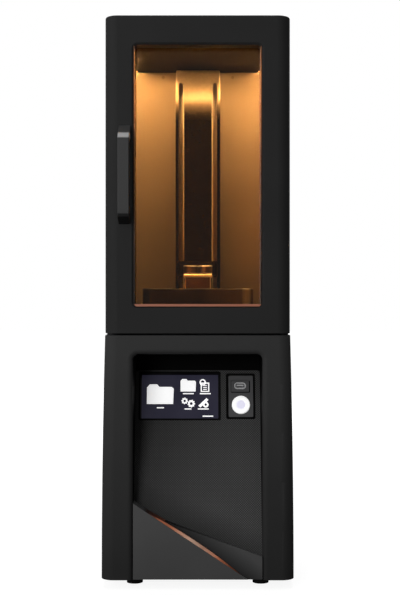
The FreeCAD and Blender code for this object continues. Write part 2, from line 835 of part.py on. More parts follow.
circuit = fuse(
    "control_board",
    box("circuit_sheet", "-112", EQUIPMENT, FLOOR + " + 8", "100", "100", "1.6"),
    box("processor", "-80", EQUIPMENT + " + 32", FLOOR + " + 9.6", "28", "28", "7"),
    box("terminal_row", "-106", EQUIPMENT + " + 4", FLOOR + " + 9.6", "70", "8", "10"),
    cylinder("post_front_left", "-107", EQUIPMENT + " + 5", FLOOR, "3", "8"),
    cylinder("post_front_right", "-17", EQUIPMENT + " + 5", FLOOR, "3", "8"),
    cylinder("post_rear_left", "-107", EQUIPMENT + " + 95", FLOOR, "3", "8"),
    cylinder("post_rear_right", "-17", EQUIPMENT + " + 95", FLOOR, "3", "8"),
)
node(circuit, "control_board")

# Rear service panel with fan, mains inlet, rocker and network socket
FAN_X = "(fan_left + fan_side/2)"
FAN_Z = "(fan_low + fan_side/2)"
rear = body("rear_panel")
sheet = Profile(rear, "XZ", REAR_PANEL)
sheet.rounded("-recess_half - 8", "recess_half + 8", "foot_height + 19", "base_top - 50", "4")
pad(rear, sheet, "panel_wall", reverse=True)
cutouts = Profile(rear, "XZ", REAR_PANEL)
cutouts.rectangle("inlet_middle - 14", "inlet_middle + 14", "inlet_level - 10", "inlet_level + 10")
cutouts.rectangle("inlet_middle - 10", "inlet_middle + 10", "rocker_level - 13", "rocker_level + 13")
cutouts.rectangle("inlet_middle - 8", "inlet_middle + 8", "lan_level - 7", "lan_level + 7")
pocket(rear, cutouts)
louvre = Profile(rear, "XZ", REAR_PANEL)
louvre.rounded("fan_left + 7", "fan_left + fan_side - 7", "fan_low + 7", "fan_low + 11", "1.9")
first_louvre = pocket(rear, louvre)
repeat(rear, first_louvre, "Z", 9, "fan_side - 18")
node(rear, "rear_panel")

fan = body("fan_frame")
square = Profile(fan, "XZ", REAR_PANEL)
square.rounded("fan_left", "fan_left + fan_side", "fan_low", "fan_low + fan_side", "4")
pad(fan, square, "fan_depth")
throat = Profile(fan, "XZ", REAR_PANEL + " - fan_depth")
throat.circle(FAN_X, FAN_Z, "fan_side/2 - 2")
pocket(fan, throat)
spider = Profile(fan, "XZ", REAR_PANEL)
spider.circle(FAN_X, FAN_Z, "15")
pad(fan, spider, "3")
spoke = Profile(fan, "XZ", REAR_PANEL)
spoke.rectangle("fan_left + 1", "fan_left + fan_side - 1", FAN_Z + " - 2", FAN_Z + " + 2")
pad(fan, spoke, "3")
node(fan, "fan_frame")


rotor = body("fan_rotor")
place(rotor, FAN_X, REAR_PANEL, FAN_Z)
hub = Profile(rotor, "XZ", "2 - fan_depth")
hub.circle("0", "0", "14")
pad(rotor, hub, "fan_depth - 5.5", reverse=True)
vane = Profile(rotor, "YZ", "11")
VANE_Y = "(-fan_depth/2 - 1)"
vane.polygon(
    (VANE_Y + " - 5*sin(vane_pitch)", "-5*cos(vane_pitch)"),
    (VANE_Y + " + 1.6 - 5*sin(vane_pitch)", "-5*cos(vane_pitch)"),
    (VANE_Y + " + 1.6 + 5*sin(vane_pitch)", "5*cos(vane_pitch)"),
    (VANE_Y + " + 5*sin(vane_pitch)", "5*cos(vane_pitch)"),
)
first_vane = pad(rotor, vane, "fan_side/2 - 16")
vanes = rotor.newObject("PartDesign::PolarPattern", "fan_rotor_vanes")
vanes.Originals = [first_vane]
vanes.Axis = ([f for f in rotor.Origin.OriginFeatures if f.Role == "Y_Axis"][0], [""])
vanes.Occurrences = 8
rotor.Tip = vanes
node(rotor, "fan_rotor")

inlet = body("power_inlet")
flange = Profile(inlet, "XZ", REAR_PANEL + " + panel_wall")
flange.rounded("inlet_middle - 25", "inlet_middle + 25", "inlet_level - 15", "inlet_level + 15", "5")
pad(inlet, flange, "2.5", reverse=True)
plug_body = Profile(inlet, "XZ", REAR_PANEL + " + panel_wall")
plug_body.rectangle("inlet_middle - 13.8", "inlet_middle + 13.8", "inlet_level - 9.8", "inlet_level + 9.8")
pad(inlet, plug_body, "24")
well_mouth = Profile(inlet, "XZ", REAR_PANEL + " + panel_wall + 2.5")
well_mouth.polygon(
    ("inlet_middle - 12", "inlet_level - 8"),
    ("inlet_middle + 12", "inlet_level - 8"),
    ("inlet_middle + 12", "inlet_level + 4"),
    ("inlet_middle + 8", "inlet_level + 8"),
    ("inlet_middle - 8", "inlet_level + 8"),
    ("inlet_middle - 12", "inlet_level + 4"),
)
pocket(inlet, well_mouth, "17", reverse=True)
blade_pins = Profile(inlet, "XZ", REAR_PANEL + " + panel_wall - 16")
blade_pins.rectangle("inlet_middle - 8", "inlet_middle - 6", "inlet_level - 4", "inlet_level")
blade_pins.rectangle("inlet_middle + 6", "inlet_middle + 8", "inlet_level - 4", "inlet_level")
blade_pins.rectangle("inlet_middle - 1", "inlet_middle + 1", "inlet_level + 1", "inlet_level + 5")
pad(inlet, blade_pins, "14", reverse=True)
node(inlet, "power_inlet")

rocker_case = body("rocker_housing")
bezel = Profile(rocker_case, "XZ", REAR_PANEL + " + panel_wall")
bezel.rounded("inlet_middle - 12", "inlet_middle + 12", "rocker_level - 15.5", "rocker_level + 15.5", "1.5")
pad(rocker_case, bezel, "1.5", reverse=True)
box_behind = Profile(rocker_case, "XZ", REAR_PANEL + " + panel_wall")
box_behind.rectangle(
    "inlet_middle - 9.8", "inlet_middle + 9.8", "rocker_level - 12.8", "rocker_level + 12.8"
)
pad(rocker_case, box_behind, "20")
seat = Profile(rocker_case, "XZ", REAR_PANEL + " + panel_wall + 1.5")
seat.rectangle("inlet_middle - 8", "inlet_middle + 8", "rocker_level - 11.5", "rocker_level + 11.5")
pocket(rocker_case, seat, "9.5", reverse=True)
node(rocker_case, "rocker_housing")

rocker = body("power_rocker")
key = Profile(rocker, "YZ", "inlet_middle")
ROCKER_Y = "(" + REAR_PANEL + " + panel_wall - 2)"
key.polygon(
    (ROCKER_Y + " - 3", "rocker_level - 4"),
    (ROCKER_Y + " + 2.2", "rocker_level - 10.2"),
    (ROCKER_Y + " + 2.8", "rocker_level"),
    (ROCKER_Y + " + 5.6", "rocker_level + 9.6"),
    (ROCKER_Y + " + 0.6", "rocker_level + 10"),
    (ROCKER_Y + " - 3", "rocker_level + 4"),
)
pad(rocker, key, "15", both=True)
node(rocker, "power_rocker")

LAN_LEFT = "inlet_middle - 7.8"
LAN_BACK = REAR_PANEL + " - 12"
lan_case = box("lan_case", LAN_LEFT, LAN_BACK, "lan_level - 6.8", "15.6", "panel_wall + 12.5", "13.6")
lan_mouth = box(
    "lan_mouth", LAN_LEFT + " + 1.8", LAN_BACK + " + 4", "lan_level - 4.5", "12", "panel_wall + 12", "8"
)
node(cut("network_socket", lan_case, lan_mouth), "network_socket")

# Cabinet: folded steel shell round the build chamber
cabinet = body("cabinet_shell")
CAB_HALF = "cabinet_width/2"
plan = Profile(cabinet, "XY", "base_top")
plan.rounded(minus(CAB_HALF), CAB_HALF, CABINET_FRONT, REAR, "edge_round", "corner_round")
pad(cabinet, plan, "cabinet_top - base_top")
soften(cabinet, "Fillet", "Radius", "rim_round", lambda b: b.ZMin > number("cabinet_top") - 0.01)
CAB_INNER = "(cabinet_width/2 - cabinet_wall)"
room = Profile(cabinet, "XY", "base_top")
room.rounded(
    minus(CAB_INNER),
    CAB_INNER,
    CABINET_INNER,
    REAR + " - cabinet_wall",
    "edge_round - cabinet_wall",
    "corner_round - cabinet_wall",
)
pocket(cabinet, room, "cabinet_top - base_top - cabinet_wall", reverse=True)
doorway = Profile(cabinet, "XZ", CABINET_FRONT)
doorway.rounded("-chamber_half", "chamber_half", RIM_LOW + " + 8", "ceiling_level", "1")
pocket(cabinet, doorway, "cabinet_wall + 8")
for low in ("hinge_low", "hinge_high"):
    relief = Profile(cabinet, "XY", low + " - fit_gap")
    relief.circle(HINGE_X, HINGE_Y, "barrel_radius + 0.7")
    pocket(cabinet, relief, "2*knuckle_length + 3*fit_gap", reverse=True)
rear_vent = Profile(cabinet, "XZ", REAR)
rear_vent.rounded("-45", "45", "cabinet_top - 96", "cabinet_top - 92", "1.9")
first_rear_vent = pocket(cabinet, rear_vent, "cabinet_wall + 1", reverse=True)
repeat(cabinet, first_rear_vent, "Z", 6, "50")
node(cabinet, "cabinet_shell")

# Chamber lining
back_wall = body("liner_back")
wall = Profile(back_wall, "XZ", BACK_WALL)
wall.rounded("-chamber_half", "chamber_half", DECK, "ceiling_level - 2", "0.5", "2")
pad(back_wall, wall, "sheet_wall", reverse=True)
node(back_wall, "liner_back")

LINER_DEPTH = "(chamber_depth + sheet_wall - door_depth - door_gap - cabinet_wall)"
LINER_HEIGHT = "(ceiling_level + sheet_wall - " + DECK + ")"
LINER_LEFT = "-chamber_half - sheet_wall"
sides = together(
    "liner_sides",
    box("liner_left", LINER_LEFT, CABINET_INNER, DECK, "sheet_wall", LINER_DEPTH, LINER_HEIGHT),
    box("liner_right", "chamber_half", CABINET_INNER, DECK, "sheet_wall", LINER_DEPTH, LINER_HEIGHT),
)
node(sides, "liner_sides")
LAMP_FRONT = "(" + FRONT + " + lamp_front)"
LAMP_BACK = "(" + FRONT + " + lamp_front + lamp_depth)"
LAMP_MOUTH_HALF = "(lamp_half - lamp_edge)"
ceiling = body("chamber_ceiling")
ceiling_plan = Profile(ceiling, "XY", "ceiling_level")
ceiling_plan.rectangle("-chamber_half", "chamber_half", CABINET_INNER, CABINET_INNER + " + " + LINER_DEPTH)
pad(ceiling, ceiling_plan, "sheet_wall")
lamp_mouth = Profile(ceiling, "XY", "ceiling_level")
lamp_mouth.rounded(
    minus(LAMP_MOUTH_HALF), LAMP_MOUTH_HALF, LAMP_FRONT + " + lamp_edge", LAMP_BACK + " - lamp_edge", "2"
)
pocket(ceiling, lamp_mouth, "sheet_wall + 1", reverse=True)
node(ceiling, "chamber_ceiling")

deck = body("deck_plate")
top = Profile(deck, "XY", "base_top")
top.rounded(
    "-chamber_half - sheet_wall", "chamber_half + sheet_wall", CABINET_INNER, BACK_WALL + " + sheet_wall", "1"
)
pad(deck, top, "deck_wall")
gate = Profile(deck, "XY", DECK)
gate.rounded(
    "2 - film_half", "film_half - 2", BUILD + " - film_reach + 6", BUILD + " + film_reach - 6", "4"
)
gate.circle("0", SCREW_Y, "screw_radius + 2")
gate.circle("-vat_knob_offset", BUILD, "3.4")
gate.circle("vat_knob_offset", BUILD, "3.4")
pocket(deck, gate)
node(deck, "deck_plate")

# Lamp: a housing on the ceiling sheet, its diffuser let into the sheet, and a short strip over each side wall
lamp = body("lamp_bar")
channel = Profile(lamp, "XY", "ceiling_level + sheet_wall")
channel.rounded("-lamp_half", "lamp_half", LAMP_FRONT, LAMP_BACK, "2")
pad(lamp, channel, "lamp_height")
node(lamp, "lamp_bar")
diffuser = body("diffuser_sheet")
lightstrip = Profile(diffuser, "XY", "ceiling_level")
lightstrip.rounded(
    "fit_gap - " + LAMP_MOUTH_HALF,
    LAMP_MOUTH_HALF + " - fit_gap",
    LAMP_FRONT + " + lamp_edge + fit_gap",
    LAMP_BACK + " - lamp_edge - fit_gap",
    "1.6",
)
pad(diffuser, lightstrip, "sheet_wall")


def side_lamp(label, left):
    front = FRONT + " + side_lamp_front"
    low = "ceiling_level - side_lamp_wall"
    return box(label, left, front, low, "side_lamp_wall", "side_lamp_depth", "side_lamp_wall")


lamps = together(
    "lamp_diffuser",
    diffuser,
    side_lamp("side_lamp_left", "-chamber_half"),
    side_lamp("side_lamp_right", "chamber_half - side_lamp_wall"),
)
node(lamps, "lamp_diffuser")

# Lift tower: a folded cover with a rounded head, over a column with two rails
BEND_Y = "(" + TOWER_FACE + " + tower_bend)"
cover = body("tower_cover")


def tower_side(setback):
    """Side view of the tower, set in from its outer face, with a quarter round at the head."""
    radius = "tower_bend - " + setback
    profile = Profile(cover, "YZ")
    centre = Vector(number(BEND_Y), number("tower_bend_low"), 0)
    reach = number(radius)
    low = number(DECK)
    bend_foot = centre - Vector(reach, 0, 0)
    bend_head = centre + Vector(0, reach, 0)
    front_foot = Vector(bend_foot.x, low, 0)
    rear_foot = Vector(number(BACK_WALL), low, 0)
    rear_head = Vector(rear_foot.x, bend_head.y, 0)
    arc_circle = Part.Circle(centre, Vector(0, 0, 1), reach)
    bend = profile.add(Part.ArcOfCircle(arc_circle, math.pi / 2, math.pi))
    front = profile.add(Part.LineSegment(bend_foot, front_foot))
    bottom = profile.add(Part.LineSegment(front_foot, rear_foot))
    rear_line = profile.add(Part.LineSegment(rear_foot, rear_head))
    roof = profile.add(Part.LineSegment(rear_head, bend_head))
    profile.hold("Coincident", bend, 2, front, 1)
    profile.hold("Coincident", front, 2, bottom, 1)
    profile.hold("Coincident", bottom, 2, rear_line, 1)
    profile.hold("Coincident", rear_line, 2, roof, 1)
    profile.hold("Coincident", roof, 2, bend, 1)
    profile.hold("Vertical", front)
    profile.hold("Vertical", rear_line)
    profile.hold("Horizontal", roof)
    profile.pin(bend, 3, BEND_Y, "tower_bend_low")
    profile.measure("Radius", (bend,), radius)
    profile.measure("DistanceY", (-1, 1, front, 2), DECK)
    profile.measure("DistanceY", (-1, 1, bottom, 2), DECK)
    profile.measure("DistanceY", (-1, 1, front, 1), "tower_bend_low")
    profile.measure("DistanceX", (-1, 1, rear_line, 2), BACK_WALL)
    profile.measure("DistanceX", (-1, 1, roof, 2), BEND_Y)
    return profile


pad(cover, tower_side("0"), "2*tower_half", both=True)


def tower_corner(b):
    along_side = b.XMax - b.XMin < 0.01
    in_front = b.YMax < number(BACK_WALL) - 0.01
    on_bend = b.ZMin > number("tower_bend_low") - 0.01
    return along_side and (in_front or on_bend)


soften(cover, "Fillet", "Radius", "1.5", tower_corner)
pocket(cover, tower_side("tower_wall"), "2*(tower_half - tower_wall)", both=True)
slots = Profile(cover, "XZ", TOWER_FACE + " - 1")
for side in ("-slot_offset", "slot_offset"):
    slots.rounded(
        side + " - slot_width/2", side + " + slot_width/2", "slot_low", "slot_high", "slot_width/2 - 0.05"
    )
pocket(cover, slots, "tower_depth - column_wall - 8")
node(cover, "tower_cover")

column = body("lift_column")
backbone = Profile(column, "XY", DECK)
backbone.rounded("-column_half", "column_half", BACK_WALL + " - column_wall", BACK_WALL, "1")
pad(column, backbone, "bearing_level + 16 - " + DECK)
node(column, "lift_column")

RAIL_Y = "(" + BACK_WALL + " - column_wall - rail_depth)"
RAIL_LENGTH = "bearing_level + 8 - slot_low"


def rail(label, middle):
    left = middle + " - rail_width/2"
    return box(label, left, RAIL_Y, "slot_low", "rail_width", "rail_depth", RAIL_LENGTH)


rails = together("lift_rails", rail("rail_left", "-rail_offset"), rail("rail_right", "rail_offset"))
node(rails, "lift_rails")

bearing = body("screw_bearing")
block = Profile(bearing, "XY", "bearing_level")
block.rounded("-13", "13", SCREW_Y + " - 12", BACK_WALL + " - column_wall", "2")
pad(bearing, block, "12")
bore = Profile(bearing, "XY", "bearing_level + 12")
bore.circle("0", SCREW_Y, "screw_radius + 0.3")
pocket(bearing, bore)
node(bearing, "screw_bearing")

motor = body("lift_motor")
can_plan = Profile(motor, "XY", "base_top - motor_height")
can_plan.rounded("-motor_half", "motor_half", SCREW_Y + " - motor_half", SCREW_Y + " + motor_half", "4")
pad(motor, can_plan, "motor_height")
spindle = Profile(motor, "XY", "base_top")
spindle.circle("0", SCREW_Y, "2.5")
pad(motor, spindle, "deck_wall + 9")
node(motor, "lift_motor")

COUPLING_LOW = "(" + DECK + " + 1)"
COUPLING_TOP = "(" + DECK + " + 1 + coupling_length)"
coupling = body("shaft_coupling")
drum = Profile(coupling, "XY", COUPLING_LOW)
drum.circle("0", SCREW_Y, "coupling_radius")
pad(coupling, drum, "coupling_length")
drum_bore = Profile(coupling, "XY", COUPLING_LOW)
drum_bore.circle("0", SCREW_Y, "2.9")
pocket(coupling, drum_bore, "10", reverse=True)
groove = Profile(coupling, "XZ", SCREW_Y)
groove.rectangle(
    "coupling_radius - 2", "coupling_radius + 2", COUPLING_LOW + " + 9.5", COUPLING_LOW + " + 11.5"
)
slit = coupling.newObject("PartDesign::Groove", "coupling_slit")
slit.Profile = groove.sketch
doc.recompute()
slit.ReferenceAxis = (groove.sketch, ["V_Axis"])
node(coupling, "shaft_coupling")

SCREW_LENGTH = "(bearing_level + 15 - " + COUPLING_TOP + ")"
node(cylinder("lead_screw", "0", SCREW_Y, COUPLING_TOP, "screw_radius", SCREW_LENGTH), "lead_screw")

# Carriage on the rails
CARRIAGE_HALF = "(column_half - 1)"
slab = body("carriage_plate")
slab_plan = Profile(slab, "XZ", CARRIAGE_FACE)
CARRIAGE_HIGH = "(carriage_low + carriage_height)"
slab_plan.rounded(minus(CARRIAGE_HALF), CARRIAGE_HALF, "carriage_low", CARRIAGE_HIGH, "3")
pad(slab, slab_plan, "carriage_wall", reverse=True)
node(slab, "carriage_plate")

BLOCK_Y = "(" + CARRIAGE_FACE + " + carriage_wall)"
BLOCK_DEPTH = "(carriage_setback - carriage_wall - column_wall - 1)"


def runner(label, middle):
    """A linear bearing that straddles one rail."""
    whole = box(
        label + "_block",
        middle + " - 9.5",
        BLOCK_Y,
        "carriage_low + 1",
        "19",
        BLOCK_DEPTH,
        "carriage_height - 2",
    )
    way = box(
        label + "_way",
        middle + " - rail_width/2 - 0.3",
        RAIL_Y + " - 0.3",
        "carriage_low",
        "rail_width + 0.6",
        "rail_depth + 2",
        "carriage_height",
    )
    return cut(label, whole, way)


runners = together(
    "carriage_bearings", runner("runner_left", "-rail_offset"), runner("runner_right", "rail_offset")
)
node(runners, "carriage_bearings")

nut = body("screw_nut")
nut_plan = Profile(nut, "XY", "carriage_low + 8")
nut_plan.rounded("-11.5", "11.5", BLOCK_Y, BACK_WALL + " - column_wall - 2", "2")
pad(nut, nut_plan, "18")
nut_bore = Profile(nut, "XY", "carriage_low + 26")
nut_bore.circle("0", SCREW_Y, "screw_radius + 0.3")
pocket(nut, nut_bore)
node(nut, "screw_nut")

# Build arm: two fins through the tower's slots, a cross beam and a shelf for the platform
ARM_BACK = "(" + BUILD + " + stem_depth/2 + 8)"
FIN_OUT = "(slot_offset + fin_wall/2)"
FIN_IN = "(slot_offset - fin_wall/2)"
arm = body("build_arm")
fork = Profile(arm, "XY", "fin_low")
fork.polygon(
    (minus(FIN_OUT), CARRIAGE_FACE),
    (minus(FIN_OUT), ARM_BACK),
    (FIN_OUT, ARM_BACK),
    (FIN_OUT, CARRIAGE_FACE),
    (FIN_IN, CARRIAGE_FACE),
    (FIN_IN, ARM_BACK + " + 10"),
    (minus(FIN_IN), ARM_BACK + " + 10"),
    (minus(FIN_IN), CARRIAGE_FACE),
)
pad(arm, fork, "fin_high - fin_low")
shelf = Profile(arm, "XY", "arm_level")
shelf.rounded("-arm_half", "arm_half", BUILD + " - stem_depth/2 - 2", ARM_BACK + " + 10", "3", "0.5")
pad(arm, shelf, "arm_wall")
studs = Profile(arm, "XY", "arm_level + arm_wall")
studs.circle("-knob_offset", BUILD, "3.4")
studs.circle("knob_offset", BUILD, "3.4")
pocket(arm, studs)
node(arm, "build_arm")

PLATFORM_LOW = "(" + DECK + " + film_wall + 2.5)"
PLATFORM_TOP = "(" + PLATFORM_LOW + " + platform_wall)"
stem = body("platform_stem")
neck = Profile(stem, "XY", PLATFORM_TOP)
neck.rounded("-stem_half", "stem_half", BUILD + " - stem_depth/2", BUILD + " + stem_depth/2", "2.5")
pad(stem, neck, "arm_level - " + PLATFORM_TOP)
threads = Profile(stem, "XY", "arm_level")
threads.circle("-knob_offset", BUILD, "3.4")
threads.circle("knob_offset", BUILD, "3.4")
pocket(stem, threads, "18")
node(stem, "platform_stem")

platform = body("build_platform")
table = Profile(platform, "XY", PLATFORM_LOW)
table.rounded(
    "-platform_half", "platform_half", BUILD + " - platform_depth/2", BUILD + " + platform_depth/2", "6"
)
pad(platform, table, "platform_wall")
soften(platform, "Chamfer", "Size", "4", lambda b: b.ZMin > number(PLATFORM_TOP) - 0.01)
node(platform, "build_platform")


def thumb_knob(label, x, low, radius, height, stud_low):
    """A round thumb knob with its stud."""
    piece = body(label)
    grip = Profile(piece, "XY", low)
    grip.circle(x, BUILD, radius)
    pad(piece, grip, height)
    soften(piece, "Chamfer", "Size", "0.8", lambda b: b.ZMin > number(low) + 1)
    shank = Profile(piece, "XY", stud_low)
    shank.circle(x, BUILD, "3")
    pad(piece, shank, low + " - " + stud_low)
    return node(piece, label)


CLAMP_LOW = "(arm_level + arm_wall + 2.4)"
for label, x in (("clamp_knob_left", "-knob_offset"), ("clamp_knob_right", "knob_offset")):
    thumb_knob(label, x, CLAMP_LOW, "knob_radius", "knob_height", "(arm_level - 14)")

# Resin vat on the deck, held by two thumb knobs through its ears
vat = body("vat_frame")
VAT_FRONT = "(" + FRONT + " + vat_front)"
VAT_BACK = "(" + FRONT + " + vat_front + vat_depth)"
vat_plan = Profile(vat, "XY", DECK)
vat_plan.rounded("-vat_half", "vat_half", VAT_FRONT, VAT_BACK, "vat_round")
pad(vat, vat_plan, "vat_high - " + DECK)
soften(vat, "Chamfer", "Size", "1.2", lambda b: b.ZMin > number("vat_high") - 0.01)
ears = Profile(vat, "XY", DECK)
ears.rounded("-vat_knob_offset - 8", "vat_knob_offset + 8", BUILD + " - 14", BUILD + " + 14", "6")
pad(vat, ears, "6")
VAT_INNER = "(vat_half - vat_wall)"
basin = Profile(vat, "XY", "vat_high")
basin.rounded(
    minus(VAT_INNER),
    VAT_INNER,
    VAT_FRONT + " + vat_wall",
    VAT_BACK + " - vat_wall",
    "vat_round - vat_wall",
)
pocket(vat, basin, "vat_high - " + DECK + " - film_wall - 1")
sight = Profile(vat, "XY", "vat_high")
sight.rounded("-film_half", "film_half", BUILD + " - film_reach", BUILD + " + film_reach", "4")
sight.circle("-vat_knob_offset", BUILD, "3.4")
sight.circle("vat_knob_offset", BUILD, "3.4")
pocket(vat, sight)
node(vat, "vat_frame")

film = body("vat_film")
film_plan = Profile(film, "XY", DECK)
film_plan.rounded("-film_half", "film_half", BUILD + " - film_reach", BUILD + " + film_reach", "4")
pad(film, film_plan, "film_wall + 1")
node(film, "vat_film")

for label, x in (("vat_knob_left", "-vat_knob_offset"), ("vat_knob_right", "vat_knob_offset")):
    thumb_knob(label, x, "(" + DECK + " + 6.4)", "8", "14", "(base_top + 0.5)")

# Door: a deep frame, its inner panel and the amber pane
frame = body("door_frame")
door_plan = Profile(frame, "XY", DOOR_LOW)
door_plan.rounded(minus(CAB_HALF), CAB_HALF, FRONT, DOOR_BACK, "corner_round", "edge_round")
pad(frame, door_plan, "cabinet_top - " + DOOR_LOW)


soften(frame, "Fillet", "Radius", "rim_round", lambda b: b.ZMin > number("cabinet_top") - 0.01)
soften(frame, "Fillet", "Radius", "rim_round*0.3", lambda b: b.ZMax < number(DOOR_LOW) + 0.01)
view = Profile(frame, "XZ", FRONT)
view.rounded("-window_half", "window_half", "window_low", "window_high", "window_round")
pocket(frame, view)


def window_edge(b):
    inside = max(-b.XMin, b.XMax) < number("window_half") + 0.01
    return b.YMax < number(FRONT) + 0.01 and inside


soften(frame, "Chamfer", "Size", "window_chamfer", window_edge)
PANE_HALF = "(window_half + pane_lap)"
PANE_LOW = "(window_low - pane_lap)"
PANE_HIGH = "(window_high + pane_lap)"
lip = Profile(frame, "XZ", DOOR_BACK)
lip.rounded("-rim_half", "rim_half", RIM_LOW, RIM_HIGH, "5")
pocket(frame, lip, "door_depth - pane_setback", reverse=True)
trough = Profile(frame, "XZ", DOOR_BACK)
trough.rounded("-rim_half", "rim_half", RIM_LOW, RIM_HIGH, "5")
trough.rounded(minus(PANE_HALF), PANE_HALF, PANE_LOW, PANE_HIGH, "window_round")
pocket(frame, trough, "door_depth - skin_wall", reverse=True)
for low in ("hinge_low", "hinge_high"):
    relief = Profile(frame, "XY", low + " - fit_gap")
    relief.circle(HINGE_X, HINGE_Y, "barrel_radius + 0.7")
    pocket(frame, relief, "2*knuckle_length + 3*fit_gap", reverse=True)
MAGNET_X = "-(rim_half + magnet_radius + 0.5)"
magnet_seats = Profile(frame, "XZ", DOOR_BACK)
magnet_seats.circle(MAGNET_X, "hinge_low + knuckle_length", "magnet_radius")
magnet_seats.circle(MAGNET_X, "hinge_high + knuckle_length", "magnet_radius")
pocket(frame, magnet_seats, "magnet_wall", reverse=True)
node(frame, "door_frame")


def magnet(label, low):
    level = low + " + knuckle_length"
    back = DOOR_BACK + " - magnet_wall"
    return cylinder(label, MAGNET_X, back, level, "magnet_radius", "magnet_wall", along="Y")


node(
    together("door_magnets", magnet("magnet_low", "hinge_low"), magnet("magnet_high", "hinge_high")),
    "door_magnets",
)

window = body("door_window")
sheet_plan = Profile(window, "XZ", FRONT + " + pane_setback")
sheet_plan.rounded(minus(PANE_HALF), PANE_HALF, PANE_LOW, PANE_HIGH, "window_round")
pad(window, sheet_plan, "pane_wall", reverse=True)
node(window, "door_window")

inner = body("door_liner")
inner_plan = Profile(inner, "XZ", FRONT + " + pane_setback + pane_wall")
inner_plan.rounded("-rim_half", "rim_half", RIM_LOW, RIM_HIGH, "5")
pad(inner, inner_plan, "2", reverse=True)
inner_view = Profile(inner, "XZ", FRONT + " + pane_setback")
inner_view.rounded("-window_half", "window_half", "window_low", "window_high", "window_round")
pocket(inner, inner_view)
node(inner, "door_liner")

# Pull handle: a bowed bar on two slanted legs
handle = body("door_handle")
bow_side = Profile(handle, "YZ", "-handle_offset")
bow_side.polygon(
    (FRONT, "handle_low"),
    (FRONT, "handle_high"),
    (FRONT + " - handle_reach + 7", "handle_high - 14"),
    (FRONT + " - handle_reach", "handle_high - 21"),
    (FRONT + " - handle_reach", "handle_low + 13"),
    (FRONT + " - handle_reach + 3", "handle_low + 9"),
)
pad(handle, bow_side, "handle_width", both=True)
finger_gap = Profile(handle, "YZ", "-handle_offset")
finger_gap.polygon(
    (FRONT + " + 1", "handle_low + 18"),
    (FRONT + " + 1", "handle_high - 18"),
    (FRONT + " - handle_reach + handle_bar", "handle_high - 27"),
    (FRONT + " - handle_reach + handle_bar", "handle_low + 26"),
)
pocket(handle, finger_gap, "handle_width + 2", both=True)


def handle_edge(b):
    on_side = b.XMax - b.XMin < 0.01
    return on_side and b.YMax < number(FRONT) - 0.01 and b.ZMax - b.ZMin > 3


soften(handle, "Fillet", "Radius", "0.9", handle_edge)
node(handle, "door_handle")

# Door seal on the cabinet front, inside the door's rim
seal = body("door_seal")
SEAL_Y = "(" + FRONT + " + pane_setback + pane_wall + 2.4)"
SEAL_HALF = "(rim_half - seal_gap)"
ring = Profile(seal, "XZ", SEAL_Y)
ring.rounded(minus(SEAL_HALF), SEAL_HALF, RIM_LOW + " + 2", RIM_HIGH + " - 2", "4")
ring.rounded("-chamber_half - 2", "chamber_half + 2", RIM_LOW + " + 8", RIM_HIGH + " - 4.5", "2")
pad(seal, ring, CABINET_FRONT + " - " + SEAL_Y, reverse=True)
node(seal, "door_seal")


def hinge_leaf(label, low, leaf_y, bore_radius):
    """One knuckle of a hinge with its leaf."""
    knuckle = cylinder(label + "_knuckle", HINGE_X, HINGE_Y, low, "barrel_radius", "knuckle_length")
    leaf = box(label + "_leaf", HINGE_X + " - 15", leaf_y, low, "15", "leaf_wall", "knuckle_length")
    pin_bore = cylinder(label + "_bore", HINGE_X, HINGE_Y, low + " - 1", bore_radius, "knuckle_length + 2")
    return cut(label, fuse(label + "_whole", knuckle, leaf), pin_bore)


UPPER = " + knuckle_length + fit_gap"
DOOR_LEAF = DOOR_BACK
CABINET_LEAF = "(" + CABINET_FRONT + " - leaf_wall)"
node(
    together(
        "hinge_leaves_door",
        hinge_leaf("door_leaf_low", "(hinge_low" + UPPER + ")", DOOR_LEAF, "pin_radius + 0.3"),
        hinge_leaf("door_leaf_high", "(hinge_high" + UPPER + ")", DOOR_LEAF, "pin_radius + 0.3"),
    ),
    "hinge_leaves_door",
)
node(
    together(
        "hinge_leaves_cabinet",
        hinge_leaf("cabinet_leaf_low", "hinge_low", CABINET_LEAF, "pin_radius"),
        hinge_leaf("cabinet_leaf_high", "hinge_high", CABINET_LEAF, "pin_radius"),
    ),
    "hinge_leaves_cabinet",
)
node(
    together(
        "hinge_pins",
        cylinder("pin_low", HINGE_X, HINGE_Y, "hinge_low", "pin_radius", "2*knuckle_length"),
        cylinder("pin_high", HINGE_X, HINGE_Y, "hinge_high", "pin_radius", "2*knuckle_length"),
    ),
    "hinge_pins",
)

doc.recompute()
for thing in doc.Objects:
    if "Invalid" in thing.State or "Error" in thing.State:
        raise RuntimeError(thing.Label + " did not build")
os.makedirs("parts", exist_ok=True)
for thing in nodes:
    if thing.Shape.isNull() or not thing.Shape.isValid():
        raise RuntimeError(thing.Label + " has a bad shape")
    thing.Shape.exportStep("parts/" + thing.Label + ".step")
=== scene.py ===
import math

import bmesh
import bpy
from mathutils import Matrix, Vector


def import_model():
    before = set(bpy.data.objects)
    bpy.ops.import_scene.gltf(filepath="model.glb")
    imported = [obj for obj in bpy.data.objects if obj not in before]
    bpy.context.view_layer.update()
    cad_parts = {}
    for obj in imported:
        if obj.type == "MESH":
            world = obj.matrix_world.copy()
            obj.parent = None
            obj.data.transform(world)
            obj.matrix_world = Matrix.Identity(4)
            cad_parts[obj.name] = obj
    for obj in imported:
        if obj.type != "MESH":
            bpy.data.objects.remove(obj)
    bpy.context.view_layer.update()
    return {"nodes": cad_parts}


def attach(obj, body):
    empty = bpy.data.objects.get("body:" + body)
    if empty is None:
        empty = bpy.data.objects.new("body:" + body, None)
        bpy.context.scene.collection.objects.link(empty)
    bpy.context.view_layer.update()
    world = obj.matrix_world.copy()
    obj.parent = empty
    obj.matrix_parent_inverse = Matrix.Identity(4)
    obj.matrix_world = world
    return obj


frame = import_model()
nodes = frame["nodes"]

